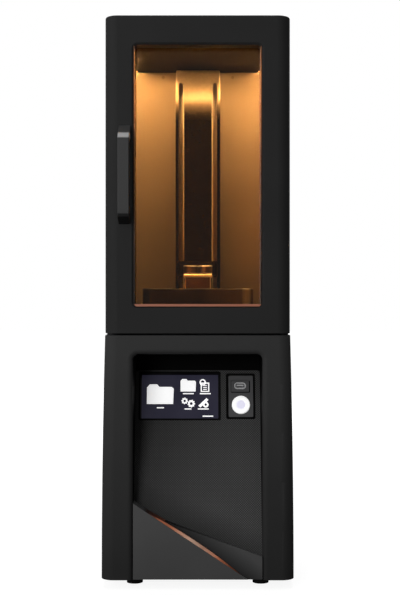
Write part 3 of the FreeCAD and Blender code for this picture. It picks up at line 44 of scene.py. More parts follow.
MM = 0.001
WHITE = (1, 1, 1, 1)
BLACK = (0, 0, 0, 1)


# Colours and procedural finishes

def srgb(red, green, blue):
    """A linear colour from the 0 to 255 numbers that a picture of it shows."""
    def linear(level):
        share = level / 255
        return share / 12.92 if share <= 0.04045 else ((share + 0.055) / 1.055) ** 2.4
    return (linear(red), linear(green), linear(blue), 1.0)


def grey(level):
    return srgb(level, level, level)


def scaled(colour, share):
    """The same colour, darker or lighter."""
    return (colour[0] * share, colour[1] * share, colour[2] * share, 1.0)


def add_node(tree, kind, inputs, **properties):
    """A new shader node, with sockets linked or numbers set on its inputs."""
    node = tree.nodes.new("ShaderNode" + kind)
    for key, value in properties.items():
        setattr(node, key, value)
    for key, value in inputs.items():
        if isinstance(value, bpy.types.NodeSocket):
            tree.links.new(value, node.inputs[key])
        else:
            node.inputs[key].default_value = value
    return node


class Finish:
    """A procedural material: one Principled shader and the textures that feed it."""

    def __init__(self, name, **sockets):
        self.name = name
        self.material = bpy.data.materials.new(name)
        self.material.use_nodes = True
        self.tree = self.material.node_tree
        self.shader = self.tree.nodes["Principled BSDF"]
        self.place = self.add("TexCoord", {}).outputs["Object"]
        for socket, value in sockets.items():
            self.shader.inputs[socket.replace("_", " ")].default_value = value

    def add(self, kind, inputs, **properties):
        return add_node(self.tree, kind, inputs, **properties)

    def feed(self, socket, value):
        """Links a value to one of the shader's sockets."""
        self.tree.links.new(value, self.shader.inputs[socket])

    def mapped(self, scale=(1, 1, 1), rotation=(0, 0, 0), vector=None):
        """Coordinates, the object's own unless others are given, turned and scaled."""
        node = self.add("Mapping", {"Vector": vector or self.place, "Scale": scale, "Rotation": rotation})
        return node.outputs["Vector"]

    def noise(self, size, detail, vector=None):
        """Noise whose blotches are about size metres across."""
        node = self.add("TexNoise", {"Vector": vector or self.place, "Scale": 1 / size, "Detail": detail})
        return node.outputs["Fac"]

    def axis(self, letter):
        """One coordinate of the surface, in metres."""
        return self.add("SeparateXYZ", {"Vector": self.place}).outputs[letter]

    def along(self, direction):
        """How far a point lies along a direction."""
        return self.add("VectorMath", {0: self.place, 1: direction}, operation="DOT_PRODUCT").outputs["Value"]

    def distance(self, spot, vector=None):
        """How far a point lies from a spot."""
        node = self.add("VectorMath", {0: vector or self.place, 1: tuple(spot)}, operation="DISTANCE")
        return node.outputs["Value"]

    def math(self, operation, first, second=0.0):
        return self.add("Math", {0: first, 1: second}, operation=operation).outputs[0]

    def mean(self, first, second, share=0.5):
        """A weighted mean of two numbers, with the share that the second has in it."""
        return self.math("ADD", self.math("MULTIPLY", first, 1 - share), self.math("MULTIPLY", second, share))

    def fade(self, factor, low, high, start=0.3, end=0.7):
        """A number that runs from low to high while factor runs from start to end."""
        node = self.add("MapRange", {"Value": factor, "From Min": start, "From Max": end,
                                     "To Min": low, "To Max": high})
        return node.outputs["Result"]

    def rise(self, factor, start, end):
        """A number that runs from 0 to 1 while factor runs from start to end."""
        return self.fade(factor, 0.0, 1.0, start, end)

    def tint(self, factor, stops):
        """A colour ramp through (position, colour) stops."""
        node = self.add("ValToRGB", {"Fac": factor})
        elements = node.color_ramp.elements
        while len(elements) < len(stops):
            elements.new(1.0)
        for element, (position, colour) in zip(elements, stops):
            element.position = position
            element.color = colour
        return node.outputs["Color"]

    def mottled(self, factor, first, last):
        """A colour that runs between two others over a noise's usual range."""
        return self.tint(factor, [(0.3, first), (0.7, last)])

    def grained(self, factor, colour, spread):
        """A colour that strays to both sides by a share of itself."""
        return self.mottled(factor, scaled(colour, 1 - spread), scaled(colour, 1 + spread))

    def blend(self, factor, first, second):
        """A colour between two other colours' sockets."""
        return self.add("Mix", {"Factor": factor, 6: first, 7: second}, data_type="RGBA").outputs[2]

    def relief(self, height, depth, strength=1.0):
        """Bump of about depth metres."""
        node = self.add("Bump", {"Height": height, "Distance": depth, "Strength": strength})
        self.feed("Normal", node.outputs["Normal"])


def moulded(name, colour, roughness, spread=0.1, grain=0.8 * MM, depth=0.03 * MM, specular=0.08, shade=None):
    """Moulded plastic or powder paint: slow clouds in the colour, and a fine grain in colour, gloss and relief.

    A shade paints light and shade along a direction: where along it the colour starts and stops changing, and its
    shares at both ends."""
    finish = Finish(name, Specular_IOR_Level=specular)
    slow = finish.noise(90 * MM, detail=3.0)
    fine = finish.noise(grain, detail=2.0)
    both = finish.mean(slow, fine)
    # A shade is painted light and shade in the colour, not the moulding's own colour
    if shade:
        direction, start, end, first, last = shade
        ends = [finish.grained(both, scaled(colour, share), spread) for share in (first, last)]
        finish.feed("Base Color", finish.blend(finish.rise(finish.along(direction), start, end), *ends))
    else:
        finish.feed("Base Color", finish.grained(both, colour, spread))
    finish.feed("Roughness", finish.fade(both, roughness - 0.06, roughness + 0.06))
    finish.relief(fine, depth)
    return finish


def machined(name, colour, roughness, stretch, size=12 * MM):
    """Bare metal with tool marks: noise drawn out along one way, in gloss, colour and relief."""
    finish = Finish(name, Metallic=1.0)
    marks = finish.noise(size, detail=5.0, vector=finish.mapped(scale=stretch))
    finish.feed("Base Color", finish.grained(marks, colour, 0.08))
    finish.feed("Roughness", finish.fade(marks, roughness - 0.08, roughness + 0.1))
    finish.relief(marks, 0.01 * MM)
    return finish


LAMP_COLOUR = (1.0, 0.93, 0.82, 1.0)
DIFFUSER_GLOW = 80.0
SIDE_GLOW = 4700.0
CORNER_GLOW = 1500.0
# A faint glow for the painted glints in the back corners, which are no lamps
PAINTED_GLINT_GLOW = 5.0

# The control panel leans back: its own x, its way up the slope and its outward normal
PANEL_FOOT = Vector((0, -150.5, 27)) * MM
PANEL_LEAN = math.radians(16)
PANEL_UP = Vector((0, math.sin(PANEL_LEAN), math.cos(PANEL_LEAN)))
PANEL_OUT = Vector((0, -math.cos(PANEL_LEAN), math.sin(PANEL_LEAN)))
PORT_PLATE_X = 63.35  # mm across the panel, also the button's

# The tower's cover bends to the back above this height, round an axis that runs across (mm)
BEND_Z = 722.0
BEND_Y = 121.5


def on_panel(x, up, out):
    """A point of the control panel, from millimetres across, up the slope and out of it."""
    return PANEL_FOOT + Vector((x, 0, 0)) * MM + PANEL_UP * up * MM + PANEL_OUT * out * MM


def textured_panel():
    """Matte moulding with rows of fine raised dots, each row shifted by half a step.

    Painted light makes it lighter to the right, and painted shade darkens its head and its foot, where it paints the
    shadow of the wedge."""
    finish = Finish("panel_textured", Specular_IOR_Level=0.25)
    dot_pitch, diagonal = 3.4 * MM, 1.41
    parts = finish.add("SeparateXYZ", {"Vector": finish.mapped(rotation=(PANEL_LEAN, 0, 0))}).outputs
    flat = finish.add("CombineXYZ", {"X": parts["X"], "Y": parts["Z"], "Z": 0.0}).outputs["Vector"]
    grid = finish.mapped(rotation=(0, 0, math.radians(45)), vector=flat)
    cells = finish.add("TexVoronoi", {"Vector": grid, "Scale": diagonal / dot_pitch, "Randomness": 0.0},
                       voronoi_dimensions="2D")
    dots = finish.fade(cells.outputs["Distance"], 1.0, 0.0, 0.15, 0.42)
    both = finish.mean(finish.noise(70 * MM, detail=3.0), dots, 0.8)
    # The darker tint is painted shade on the left, and the brighter tint is painted light on the right
    painted_shade_tint = finish.tint(both, [(0.1, grey(17)), (0.9, grey(58))])
    bright = finish.tint(both, [(0.1, grey(26)), (0.9, grey(83))])
    # Near black, for the painted shadow of the wedge and the painted shade at the head
    dark = finish.tint(both, [(0.2, grey(3)), (0.7, grey(5))])
    painted_light_rightward = finish.rise(finish.axis("X"), -85 * MM, 60 * MM)
    # Painted shadow of the wedge along the foot, and painted shade towards the head
    foot = finish.fade(finish.along((0.42, 0, 1)), 0.12, 1.0, 75 * MM, 118 * MM)
    head = finish.fade(finish.axis("Z"), 1.0, 0.78, 190 * MM, 230 * MM)
    lit = finish.math("MULTIPLY", foot, head)
    finish.feed("Base Color", finish.blend(lit, dark, finish.blend(painted_light_rightward, painted_shade_tint, bright)))
    finish.feed("Roughness", finish.fade(dots, 0.62, 0.46, 0.0, 1.0))
    finish.relief(dots, 0.25 * MM, 0.7)
    return finish


def amber_pane():
    """Amber acrylic: clear through, orange in thickness, with the faintest ripple."""
    finish = Finish("amber_pane", Base_Color=(0.93, 0.42, 0.11, 1.0), Transmission_Weight=1.0, IOR=1.49)
    ripple = finish.noise(60 * MM, detail=2.0)
    finish.feed("Roughness", finish.fade(ripple, 0.0, 0.03))
    finish.relief(ripple, 0.01 * MM, 0.2)
    return finish


def clear_film():
    """The vat's stretched film: thin, clear and a little hazy."""
    finish = Finish("vat_film_clear", Base_Color=(0.9, 0.92, 0.93, 1), Transmission_Weight=0.85, IOR=1.35)
    haze = finish.noise(25 * MM, detail=4.0)
    finish.feed("Roughness", finish.fade(haze, 0.08, 0.2))
    finish.relief(haze, 0.05 * MM, 0.3)
    return finish


def chamber_lamp():
    """The ceiling's diffuser sheet, lit over its middle and a little brighter over each diode."""
    finish = Finish("lamp_white", Base_Color=(0.85, 0.84, 0.8, 1), Roughness=0.5, Emission_Strength=DIFFUSER_GLOW)
    diodes = finish.noise(9 * MM, detail=1.0)
    aside = finish.math("ABSOLUTE", finish.axis("X"))
    lit = finish.math("MULTIPLY", finish.fade(aside, 1.0, 0.0, 42 * MM, 60 * MM), finish.fade(diodes, 0.9, 1.0))
    finish.feed("Emission Color", finish.tint(lit, [(0.0, BLACK), (1.0, LAMP_COLOUR)]))
    finish.relief(diodes, 0.05 * MM, 0.3)
    return finish


def copper_trim():
    """Brushed copper with a painted highlight at the middle of its length and painted shade towards the ends."""
    finish = Finish("accent_copper", Metallic=0.85, Specular_IOR_Level=0.5)
    centre, half = -5 * MM, 66 * MM
    brush = finish.noise(3 * MM, detail=4.0, vector=finish.mapped(scale=(0.12, 1, 0.2)))
    away = finish.math("ABSOLUTE", finish.math("SUBTRACT", finish.axis("X"), centre))
    both = finish.mean(finish.fade(away, 1.0, 0.0, 0.0, half), brush, 0.2)
    # The stops run from painted shade near the ends, through the copper's own colour, to a painted highlight in the
    # middle
    stops = [(0.05, srgb(44, 37, 35)), (0.22, srgb(116, 62, 43)), (0.5, srgb(214, 130, 95)),
             (0.95, srgb(244, 205, 180))]
    finish.feed("Base Color", finish.tint(both, stops))
    finish.feed("Roughness", finish.fade(brush, 0.28, 0.45))
    finish.relief(brush, 0.02 * MM)
    return finish


def white_button():
    """A white cap with a faintly lavender dished middle, all of it with a faint glow: painted light that lifts it
    out of the recess's shade.
    """
    # The emission is painted light over the whole cap
    finish = Finish("button_white", Specular_IOR_Level=0.5, Coat_Weight=0.15, Coat_Roughness=0.1,
                    Emission_Strength=0.45)
    cloud = finish.noise(6 * MM, detail=2.0)
    away = finish.distance(on_panel(PORT_PLATE_X, 236.86, 0.4))
    wobble = finish.math("ADD", away, finish.math("MULTIPLY", cloud, 0.6 * MM))
    edge = finish.rise(wobble, 6.4 * MM, 7.6 * MM)
    glow = finish.tint(edge, [(0.0, srgb(214, 212, 230)), (1.0, grey(242))])
    finish.feed("Base Color", glow)
    finish.feed("Emission Color", glow)
    finish.feed("Roughness", finish.fade(cloud, 0.25, 0.4))
    return finish


def screen_glass():
    """Black cover glass with a faint wipe pattern in its gloss."""
    finish = Finish("screen_glass", Specular_IOR_Level=0.35)
    wipe = finish.noise(30 * MM, detail=3.0, vector=finish.mapped(scale=(1, 1, 3)))
    finish.feed("Base Color", finish.mottled(wipe, srgb(10, 10, 12), srgb(16, 16, 19)))
    finish.feed("Roughness", finish.fade(wipe, 0.06, 0.14))
    return finish


def lit_picture(name, colour, strength, spread=0.08):
    """A lit area of the display, a lamp's lens or a painted glint, with the faint unevenness of its light."""
    finish = Finish(name, Specular_IOR_Level=0.3, Emission_Strength=strength)
    glow = finish.noise(40 * MM, detail=2.0)
    colours = finish.grained(glow, colour, spread)
    finish.feed("Base Color", colours)
    finish.feed("Emission Color", colours)
    finish.feed("Roughness", finish.fade(glow, 0.1, 0.2))
    return finish


def tower_paint():
    """Satin black sheet with a brushed head; the inside, seen through the slots, is bare and pale, with painted
    shade over its right half.
    """
    finish = Finish("tower_black", Specular_IOR_Level=0.15)
    inner_reach, slots_reach = 60.2 * MM, 33.6 * MM
    peel = finish.noise(6 * MM, detail=2.0)
    black = finish.mottled(peel, srgb(9, 9, 10), srgb(13, 13, 14))
    brushed = finish.mottled(peel, grey(196), grey(208))
    left = finish.mottled(peel, srgb(186, 186, 184), srgb(198, 198, 196))
    # Painted shade: the right half of the inside is darker
    right = finish.mottled(peel, srgb(92, 92, 91), srgb(100, 100, 99))
    pale = finish.blend(finish.rise(finish.axis("X"), -10 * MM, 10 * MM), left, right)
    over = finish.math("MAXIMUM", finish.math("SUBTRACT", finish.axis("Z"), BEND_Z * MM), 0.0)
    flat = finish.add("CombineXYZ", {"X": 0.0, "Y": finish.axis("Y"), "Z": over}).outputs["Vector"]
    within = finish.math("LESS_THAN", finish.distance((0, BEND_Y * MM, 0), vector=flat), inner_reach)
    between = finish.math("LESS_THAN", finish.math("ABSOLUTE", finish.axis("X")), slots_reach)
    inside = finish.math("MULTIPLY", within, between)
    head = finish.math("POWER", finish.rise(finish.axis("Z"), 692 * MM, 728 * MM), 2.6)
    finish.feed("Metallic", finish.math("MULTIPLY", head, finish.math("SUBTRACT", 1.0, inside)))
    finish.feed("Base Color", finish.blend(inside, finish.blend(head, black, brushed), pale))
    dullness = finish.fade(head, 0.25, 0.58, 0.0, 1.0)
    finish.feed("Roughness", finish.math("ADD", finish.fade(peel, -0.02, 0.02), dullness))
    return finish


def handle_paint():
    """Satin black bar with a painted highlight on its upper end and painted shade on its lower end."""
    finish = Finish("handle_black", Specular_IOR_Level=0.2)
    fine = finish.noise(0.5 * MM, detail=2.0)
    along = finish.rise(finish.axis("Z"), 515 * MM, 654 * MM)
    # lit is a painted highlight near the top, and the darkest stop is painted shade at the foot
    bar, lit = grey(39), grey(130)
    stops = [(0.05, grey(22)), (0.13, bar), (0.845, bar), (0.862, lit), (0.9, lit), (0.915, grey(40))]
    finish.feed("Base Color", finish.tint(along, stops))
    finish.feed("Roughness", finish.fade(fine, 0.4, 0.5))
    finish.relief(fine, 0.005 * MM)
    return finish


def vat_plastic():
    """Smoky moulding, darkest at its left and middle, with painted light towards the right and a painted reflection
    band near the right corner.
    """
    finish = Finish("vat_dark", Specular_IOR_Level=0.12)
    peel = finish.noise(6 * MM, detail=2.0)
    along = finish.rise(finish.axis("X"), -100 * MM, 100 * MM)
    # mid is painted light towards the right, and clear is a painted reflection band near the right corner
    dark, mid, clear = srgb(28, 37, 42), srgb(80, 91, 98), srgb(156, 178, 188)
    stops = [(0.05, srgb(44, 54, 60)), (0.2, dark), (0.52, dark), (0.82, mid), (0.85, clear), (0.875, clear),
             (0.895, mid)]
    finish.feed("Base Color", finish.tint(along, stops))
    finish.feed("Roughness", finish.fade(peel, 0.42, 0.5))
    finish.relief(peel, 0.015 * MM, 0.5)
    return finish


def arm_finish():
    """Black anodised fins with a bare milled shelf between them."""
    finish = Finish("arm_two_tone", Specular_IOR_Level=0.12)
    marks = finish.noise(9 * MM, detail=4.0, vector=finish.mapped(scale=(12, 1, 1)))
    between = finish.math("LESS_THAN", finish.math("ABSOLUTE", finish.axis("X")), 21.8 * MM)
    below = finish.math("LESS_THAN", finish.axis("Z"), 448.5 * MM)
    black = finish.mottled(marks, srgb(8, 8, 9), srgb(12, 12, 13))
    pale = finish.mottled(marks, srgb(205, 205, 203), srgb(232, 232, 230))
    finish.feed("Base Color", finish.blend(finish.math("MULTIPLY", between, below), black, pale))
    finish.feed("Roughness", finish.fade(marks, 0.4, 0.5))
    finish.relief(marks, 0.01 * MM)
    return finish


def painted_edge_glow():
    """Painted glow on the amber pane's edges, brightest level with the lamps: colour that stands in for the
    chamber's light.
    """
    finish = Finish("painted_pane_edge", Specular_IOR_Level=0.3)
    ripple = finish.noise(8 * MM, detail=2.0)
    along = finish.rise(finish.axis("Z"), 400 * MM, 770 * MM)
    level = finish.math("ADD", along, finish.fade(ripple, -0.015, 0.015))
    # Painted light: the stops follow the chamber's light up the window
    stops = [(0.05, srgb(34, 22, 14)), (0.25, srgb(54, 30, 18)), (0.42, srgb(70, 40, 20)), (0.6, srgb(104, 60, 31)),
             (0.75, srgb(158, 94, 46)), (0.88, srgb(172, 106, 52)), (0.96, srgb(116, 74, 46))]
    finish.feed("Base Color", finish.tint(level, stops))
    finish.feed("Roughness", finish.fade(ripple, 0.25, 0.4))
    return finish


# Finishes by the name of the CAD material that they take the place of, and then those of single nodes
finishes = {finish.name: finish for finish in (
    # base_black: painted shade darkens the base towards its foot, and painted light brightens it towards its top
    moulded("base_black", grey(41), roughness=0.5, specular=0.02, shade=((0, 0, 1), 0.03, 0.345, 0.8, 1.4)),
    moulded("door_black", grey(38), roughness=0.48, specular=0.02, grain=0.5 * MM, depth=0.015 * MM),
    moulded("cabinet_paint", srgb(39, 39, 40), roughness=0.58, specular=0.02, grain=1.2 * MM, depth=0.06 * MM),
    textured_panel(),
    moulded("panel_smooth", srgb(52, 52, 53), roughness=0.45, grain=0.4 * MM, depth=0.01 * MM),
    # recess_dark is near black as painted shade: it paints the shade inside the base's recess
    moulded("recess_dark", grey(9), roughness=0.7, specular=0.03),
    copper_trim(),
    handle_paint(),
    moulded("foot_rubber", grey(24), roughness=0.8, grain=1.0 * MM, depth=0.08 * MM),
    moulded("seal_rubber", grey(20), roughness=0.7, grain=0.6 * MM),
    screen_glass(),
    moulded("display_case", srgb(30, 30, 32), roughness=0.5),
    machined("connector_metal", srgb(180, 180, 182), roughness=0.28, stretch=(1, 6, 6), size=4 * MM),
    white_button(),
    moulded("black_plastic", srgb(26, 26, 27), roughness=0.5, grain=0.7 * MM),
    amber_pane(),
    clear_film(),
    vat_plastic(),
    # chamber_paint: painted shade darkens the chamber lining towards its bottom
    moulded("chamber_paint", srgb(129, 128, 128), roughness=0.45, spread=0.03, specular=0.3,
            shade=((0, 0, 1), 0.38, 0.62, 0.76, 1.03)),
    moulded("deck_paint", srgb(70, 68, 66), roughness=0.45, specular=0.3),
    chamber_lamp(),
    tower_paint(),
    machined("slot_edge", srgb(220, 236, 246), roughness=0.5, stretch=(1, 1, 0.1), size=3 * MM),
    machined("machined_aluminium", srgb(222, 223, 224), roughness=0.5, stretch=(20, 1, 1)),
    machined("ground_steel", srgb(214, 215, 216), roughness=0.4, stretch=(1, 1, 20)),
    machined("nut_brass", srgb(205, 168, 96), roughness=0.3, stretch=(1, 1, 8)),
    machined("stem_anodised", srgb(94, 91, 104), roughness=0.4, stretch=(1, 1, 12), size=8 * MM),
    machined("knob_black", srgb(102, 101, 102), roughness=0.36, stretch=(1, 1, 6), size=5 * MM),
    moulded("motor_black", srgb(28, 28, 29), roughness=0.4, specular=0.4),
    machined("hinge_steel", srgb(150, 151, 154), roughness=0.35, stretch=(1, 1, 10), size=6 * MM),
    moulded("engine_case", srgb(48, 50, 52), roughness=0.42, specular=0.4),
    machined("supply_case", srgb(175, 176, 176), roughness=0.45, stretch=(8, 1, 1), size=9 * MM),
    moulded("board_green", srgb(24, 74, 48), roughness=0.35, specular=0.5, grain=2.5 * MM),
)}
chosen = {
    "chamber_ceiling": moulded("chamber_ceiling", srgb(26, 26, 27), roughness=0.6, specular=0.05),
    "build_arm": arm_finish(),
    # corner_plate: painted shade darkens it towards its foot
    "corner_plate": moulded("corner_plate", grey(65), roughness=0.42, grain=0.4 * MM, depth=0.01 * MM,
                            shade=((0, 0, 1), 0.014, 0.1, 0.88, 1.05)),
    # wedge_panel: painted shade darkens it along the copper strip and lightens away from it
    "wedge_panel": moulded("wedge_panel", grey(56), roughness=0.42, grain=0.4 * MM, depth=0.01 * MM,
                           shade=((0.746, 0, 1), 0.0607, 0.1007, 0.18, 1.3)),
    "network_socket": moulded("network_socket", srgb(120, 120, 122), roughness=0.4, specular=0.4, grain=0.5 * MM),
    "rear_panel": moulded("rear_panel", srgb(44, 44, 45), roughness=0.5, grain=0.6 * MM),
    # port_plate is a lighter copy of panel_smooth: painted light that lifts it out of the recess's shade
    "port_plate": moulded("port_plate", srgb(72, 72, 73), roughness=0.45, grain=0.4 * MM, depth=0.01 * MM),
}
for node in nodes.values():
    node.data.materials[0] = finishes[node.data.materials[0].name.split(".")[0]].material
for name, finish in chosen.items():
    nodes[name].data.materials[0] = finish.material


# Mesh helpers: outlines are lists of flat points, and a place turns such a point and a height into a spot in metres

def upright(x, y, z):
    return Vector((x, y, z)) * MM


def forward(x, z, y):
    return Vector((x, y, z)) * MM


def sideways(y, z, x):
    return Vector((x, y, z)) * MM


def circle(x, y, radius, count):
    """Points round a circle."""
    turns = [math.tau * i / count for i in range(count)]
    return [(x + radius * math.cos(t), y + radius * math.sin(t)) for t in turns]


def rounded(x, y, width, height, radius, steps=4):
    """Points round a rectangle with round corners, about its middle."""
    points = []
    for quarter, (sx, sy) in enumerate(((1, 1), (-1, 1), (-1, -1), (1, -1))):
        cx = x + sx * (width / 2 - radius)
        cy = y + sy * (height / 2 - radius)
        for i in range(steps + 1):
            angle = math.pi / 2 * (quarter + i / steps)
            points.append((cx + radius * math.cos(angle), cy + radius * math.sin(angle)))
    return points


def on_side(side, outline):
    """An outline drawn for the right, or mirrored to the left where side is -1."""
    return [(side * x, y) for x, y in outline]


def prism(mesh, outline, low, high, place):
    """A closed block over a flat outline, between two heights."""
    floor = [mesh.verts.new(place(x, y, low)) for x, y in outline]
    roof = [mesh.verts.new(place(x, y, high)) for x, y in outline]
    mesh.faces.new(roof)
    mesh.faces.new(floor[::-1])
    for i in range(len(outline)):
        j = (i + 1) % len(outline)
        mesh.faces.new((floor[i], floor[j], roof[j], roof[i]))


def ring(mesh, outer, inner, low, high, place):
    """A closed band between two outlines of the same number of points."""
    loops = [[mesh.verts.new(place(x, y, h)) for x, y in outline]
             for outline, h in ((outer, low), (outer, high), (inner, high), (inner, low))]
    for k in range(4):
        here, there = loops[k], loops[(k + 1) % 4]
        for i in range(len(here)):
            j = (i + 1) % len(here)
            mesh.faces.new((here[i], here[j], there[j], there[i]))


def hoop(mesh, x, y, z, radius, thick, count=32, sides=8):
    """A round bar bent into a level circle."""
    rows = []
    for i in range(count):
        turn = math.tau * i / count
        row = []
        for j in range(sides):
            tilt = math.tau * j / sides
            reach = radius + thick * math.cos(tilt)
            spot = upright(x + reach * math.cos(turn), y + reach * math.sin(turn), z + thick * math.sin(tilt))
            row.append(mesh.verts.new(spot))
        rows.append(row)
    for i in range(count):
        here, there = rows[i], rows[(i + 1) % count]
        for j in range(sides):
            k = (j + 1) % sides
            mesh.faces.new((here[j], there[j], there[k], here[k]))


def ribbon(mesh, left, right, path):
    """A band across x between two lines of (y, z) points, one on each side of its thickness."""
    rows = [[mesh.verts.new(upright(x, y, z)) for x in (left, right) for y, z in (outer, inner)]
            for outer, inner in path]
    for here, there in zip(rows, rows[1:]):
        for j, k in ((0, 1), (1, 3), (3, 2), (2, 0)):
            mesh.faces.new((here[j], here[k], there[k], there[j]))
    for row in (rows[0], rows[-1]):
        mesh.faces.new((row[0], row[1], row[3], row[2]))


def screw(mesh, x, z, face, radius):
    """A round head with a six-sided recess, standing on a face that looks to the back."""
    ring(mesh, circle(x, z, radius, 18), circle(x, z, radius * 0.5, 18), face, face + 1.1, forward)
    prism(mesh, circle(x, z, radius * 0.52, 6), face, face + 0.4, forward)


def linked(name, mesh, finish):
    """A new object in the scene from mesh data, with its finish."""
    data = bpy.data.meshes.new(name)
    mesh.to_mesh(data)
    mesh.free()
    data.materials.append(finish.material)
    thing = bpy.data.objects.new(name, data)
    bpy.context.scene.collection.objects.link(thing)
    return thing


def piece(name, mesh, body, finish, bevel=0.0):
    """A scene piece from mesh data, riding on a body, with a small bevel on its edges where asked."""
    bmesh.ops.recalc_face_normals(mesh, faces=mesh.faces)
    thing = linked(name, mesh, finish)
    if bevel:
        edge = thing.modifiers.new("edge", "BEVEL")
        edge.width = bevel
        edge.segments = 2
        edge.limit_method = "ANGLE"
    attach(thing, body)


# The display's picture, laid out in the photograph's pixels

SCREEN_FACE = -1.0
PICTURE_THICK = 0.06
ICON_THICK = 0.12
MM_PER_PIXEL = 1.4684
MIDDLE_PIXEL = (197.66, 395.75)
MIDDLE_UP = 250.0


def at_pixel(px, py):
    """Panel millimetres for a pixel of the photograph that falls on the display."""
    x = (px - MIDDLE_PIXEL[0]) * MM_PER_PIXEL
    up = MIDDLE_UP - (py - MIDDLE_PIXEL[1]) * MM_PER_PIXEL / math.cos(PANEL_LEAN)
    return x, up


def pixel_outline(points):
    return [at_pixel(px, py) for px, py in points]


def display_picture():
    """A navy field with generic white pictograms, and plain bars for their captions."""
    backlight = lit_picture("display_navy", srgb(36, 35, 48), 0.5)
    ink = lit_picture("display_white", grey(236), 0.6, spread=0.03)
    left, top = at_pixel(141.6, 375.2)
    right, bottom = at_pixel(218.0, 417.6)
    field = bmesh.new()
    outline = rounded((left + right) / 2, (top + bottom) / 2, right - left, top - bottom, 0.8)
    prism(field, outline, SCREEN_FACE, SCREEN_FACE + PICTURE_THICK, on_panel)
    piece("display_field", field, "printer", backlight)

    icons = bmesh.new()
    low, high = SCREEN_FACE + PICTURE_THICK, SCREEN_FACE + ICON_THICK

    def block(points):
        prism(icons, pixel_outline(points), low, high, on_panel)

    def band(outer, inner):
        ring(icons, pixel_outline(outer), pixel_outline(inner), low, high, on_panel)

    def folder(px, py, width, height):
        block([(px, py + height), (px, py + 0.16 * height), (px + 0.1 * width, py), (px + 0.38 * width, py),
               (px + 0.46 * width, py + 0.13 * height), (px + 0.92 * width, py + 0.13 * height),
               (px + width, py + 0.22 * height), (px + 0.98 * width, py + height)])

    def cog(px, py, radius, teeth):
        outer = []
        for i in range(teeth * 4):
            reach = radius if i % 4 < 2 else radius * 0.8
            angle = math.tau * i / (teeth * 4)
            outer.append((px + reach * math.cos(angle), py + reach * math.sin(angle)))
        band(outer, circle(px, py, radius * 0.36, teeth * 4))

    def caption(px, py, width):
        block(rounded(px, py, width, 1.1, 0.4))

    # The large folder
    folder(146.8, 384.4, 26.8, 19.2)
    caption(160.4, 407.2, 7.4)
    # The small folder
    folder(180.4, 379.2, 15.4, 12.2)
    caption(188.2, 393.5, 11.0)
    # A document with a ring at its corner
    band([(200.6, 391.8), (200.6, 382.6), (209.2, 382.6), (209.2, 391.8)],
         [(201.8, 390.8), (201.8, 383.8), (208.0, 383.8), (208.0, 390.8)])
    for line in range(3):
        top, bottom = 385.3 + line * 1.9, 386.1 + line * 1.9
        block([(203.0, top), (206.8, top), (206.8, bottom), (203.0, bottom)])
    band(circle(202.6, 382.4, 3.2, 20), circle(202.6, 382.4, 1.9, 20))
    caption(205.2, 393.5, 11.0)
    # Two cogs
    cog(184.6, 400.6, 3.3, 8)
    cog(191.2, 403.2, 3.9, 9)
    caption(188.0, 408.4, 7.0)
    # A tool with a ring, and a last caption in the corner
    block([(198.2, 405.2), (206.4, 397.8), (208.4, 399.6), (200.4, 407.0)])
    band(circle(205.6, 404.2, 2.9, 16), circle(205.6, 404.2, 1.2, 16))
    caption(203.2, 408.4, 11.0)
    caption(207.8, 415.4, 10.6)
    piece("display_icons", icons, "printer", ink)


# Small pieces, in millimetres

def port_details():
    """The USB socket's raised block, metal mouth and tongue, and near-black rings of painted shade round the block,
    in the port plate's moat and round the screen.
    """
    steel = moulded("usb_steel", srgb(172, 172, 173), roughness=0.35, spread=0.06, grain=0.6 * MM, specular=0.5)
    x, up = 62.35, 265.16
    block = rounded(x, up - 0.8, 26.2, 16.4, 1.2, steps=6)
    bezel = bmesh.new()
    ring(bezel, block, rounded(x, up, 18.4, 10.8, 5.3, steps=6), -1.5, -0.2, on_panel)
    piece("usb_bezel", bezel, "printer", chosen["port_plate"], bevel=0.3 * MM)
    mouth = bmesh.new()
    lip, opening = rounded(x, up, 17.6, 10.0, 4.9, steps=6), rounded(x, up, 14.6, 7.0, 3.4, steps=6)
    ring(mouth, lip, opening, -1.6, -0.5, on_panel)
    prism(mouth, rounded(x, up + 0.5, 9.8, 1.9, 0.4), -2.2, -0.8, on_panel)
    piece("usb_mouth", mouth, "printer", steel, bevel=0.15 * MM)

    # Near-black rings that paint the shade round the USB block, in the port plate's moat and round the screen glass
    painted_shade_rings = bmesh.new()
    ring(painted_shade_rings, rounded(x + 0.4, up - 1.2, 28.2, 18.0, 1.6, steps=6), block, -1.5, -1.38, on_panel)
    plate_up, screen_x = 249.7, -26.4
    moat, plate = rounded(PORT_PLATE_X, plate_up, 42.1, 67.5, 1.8), rounded(PORT_PLATE_X, plate_up, 36.1, 61.5, 1.8)
    ring(painted_shade_rings, moat, plate, -3.0, -2.8, on_panel)
    screen_shade_rim, glass = rounded(screen_x, 250.1, 120.4, 73.0, 2.6), rounded(screen_x, 250.5, 115.4, 68.2, 1.6)
    ring(painted_shade_rings, screen_shade_rim, glass, -0.05, 0.1, on_panel)
    piece("port_painted_shade", painted_shade_rings, "printer", finishes["recess_dark"])


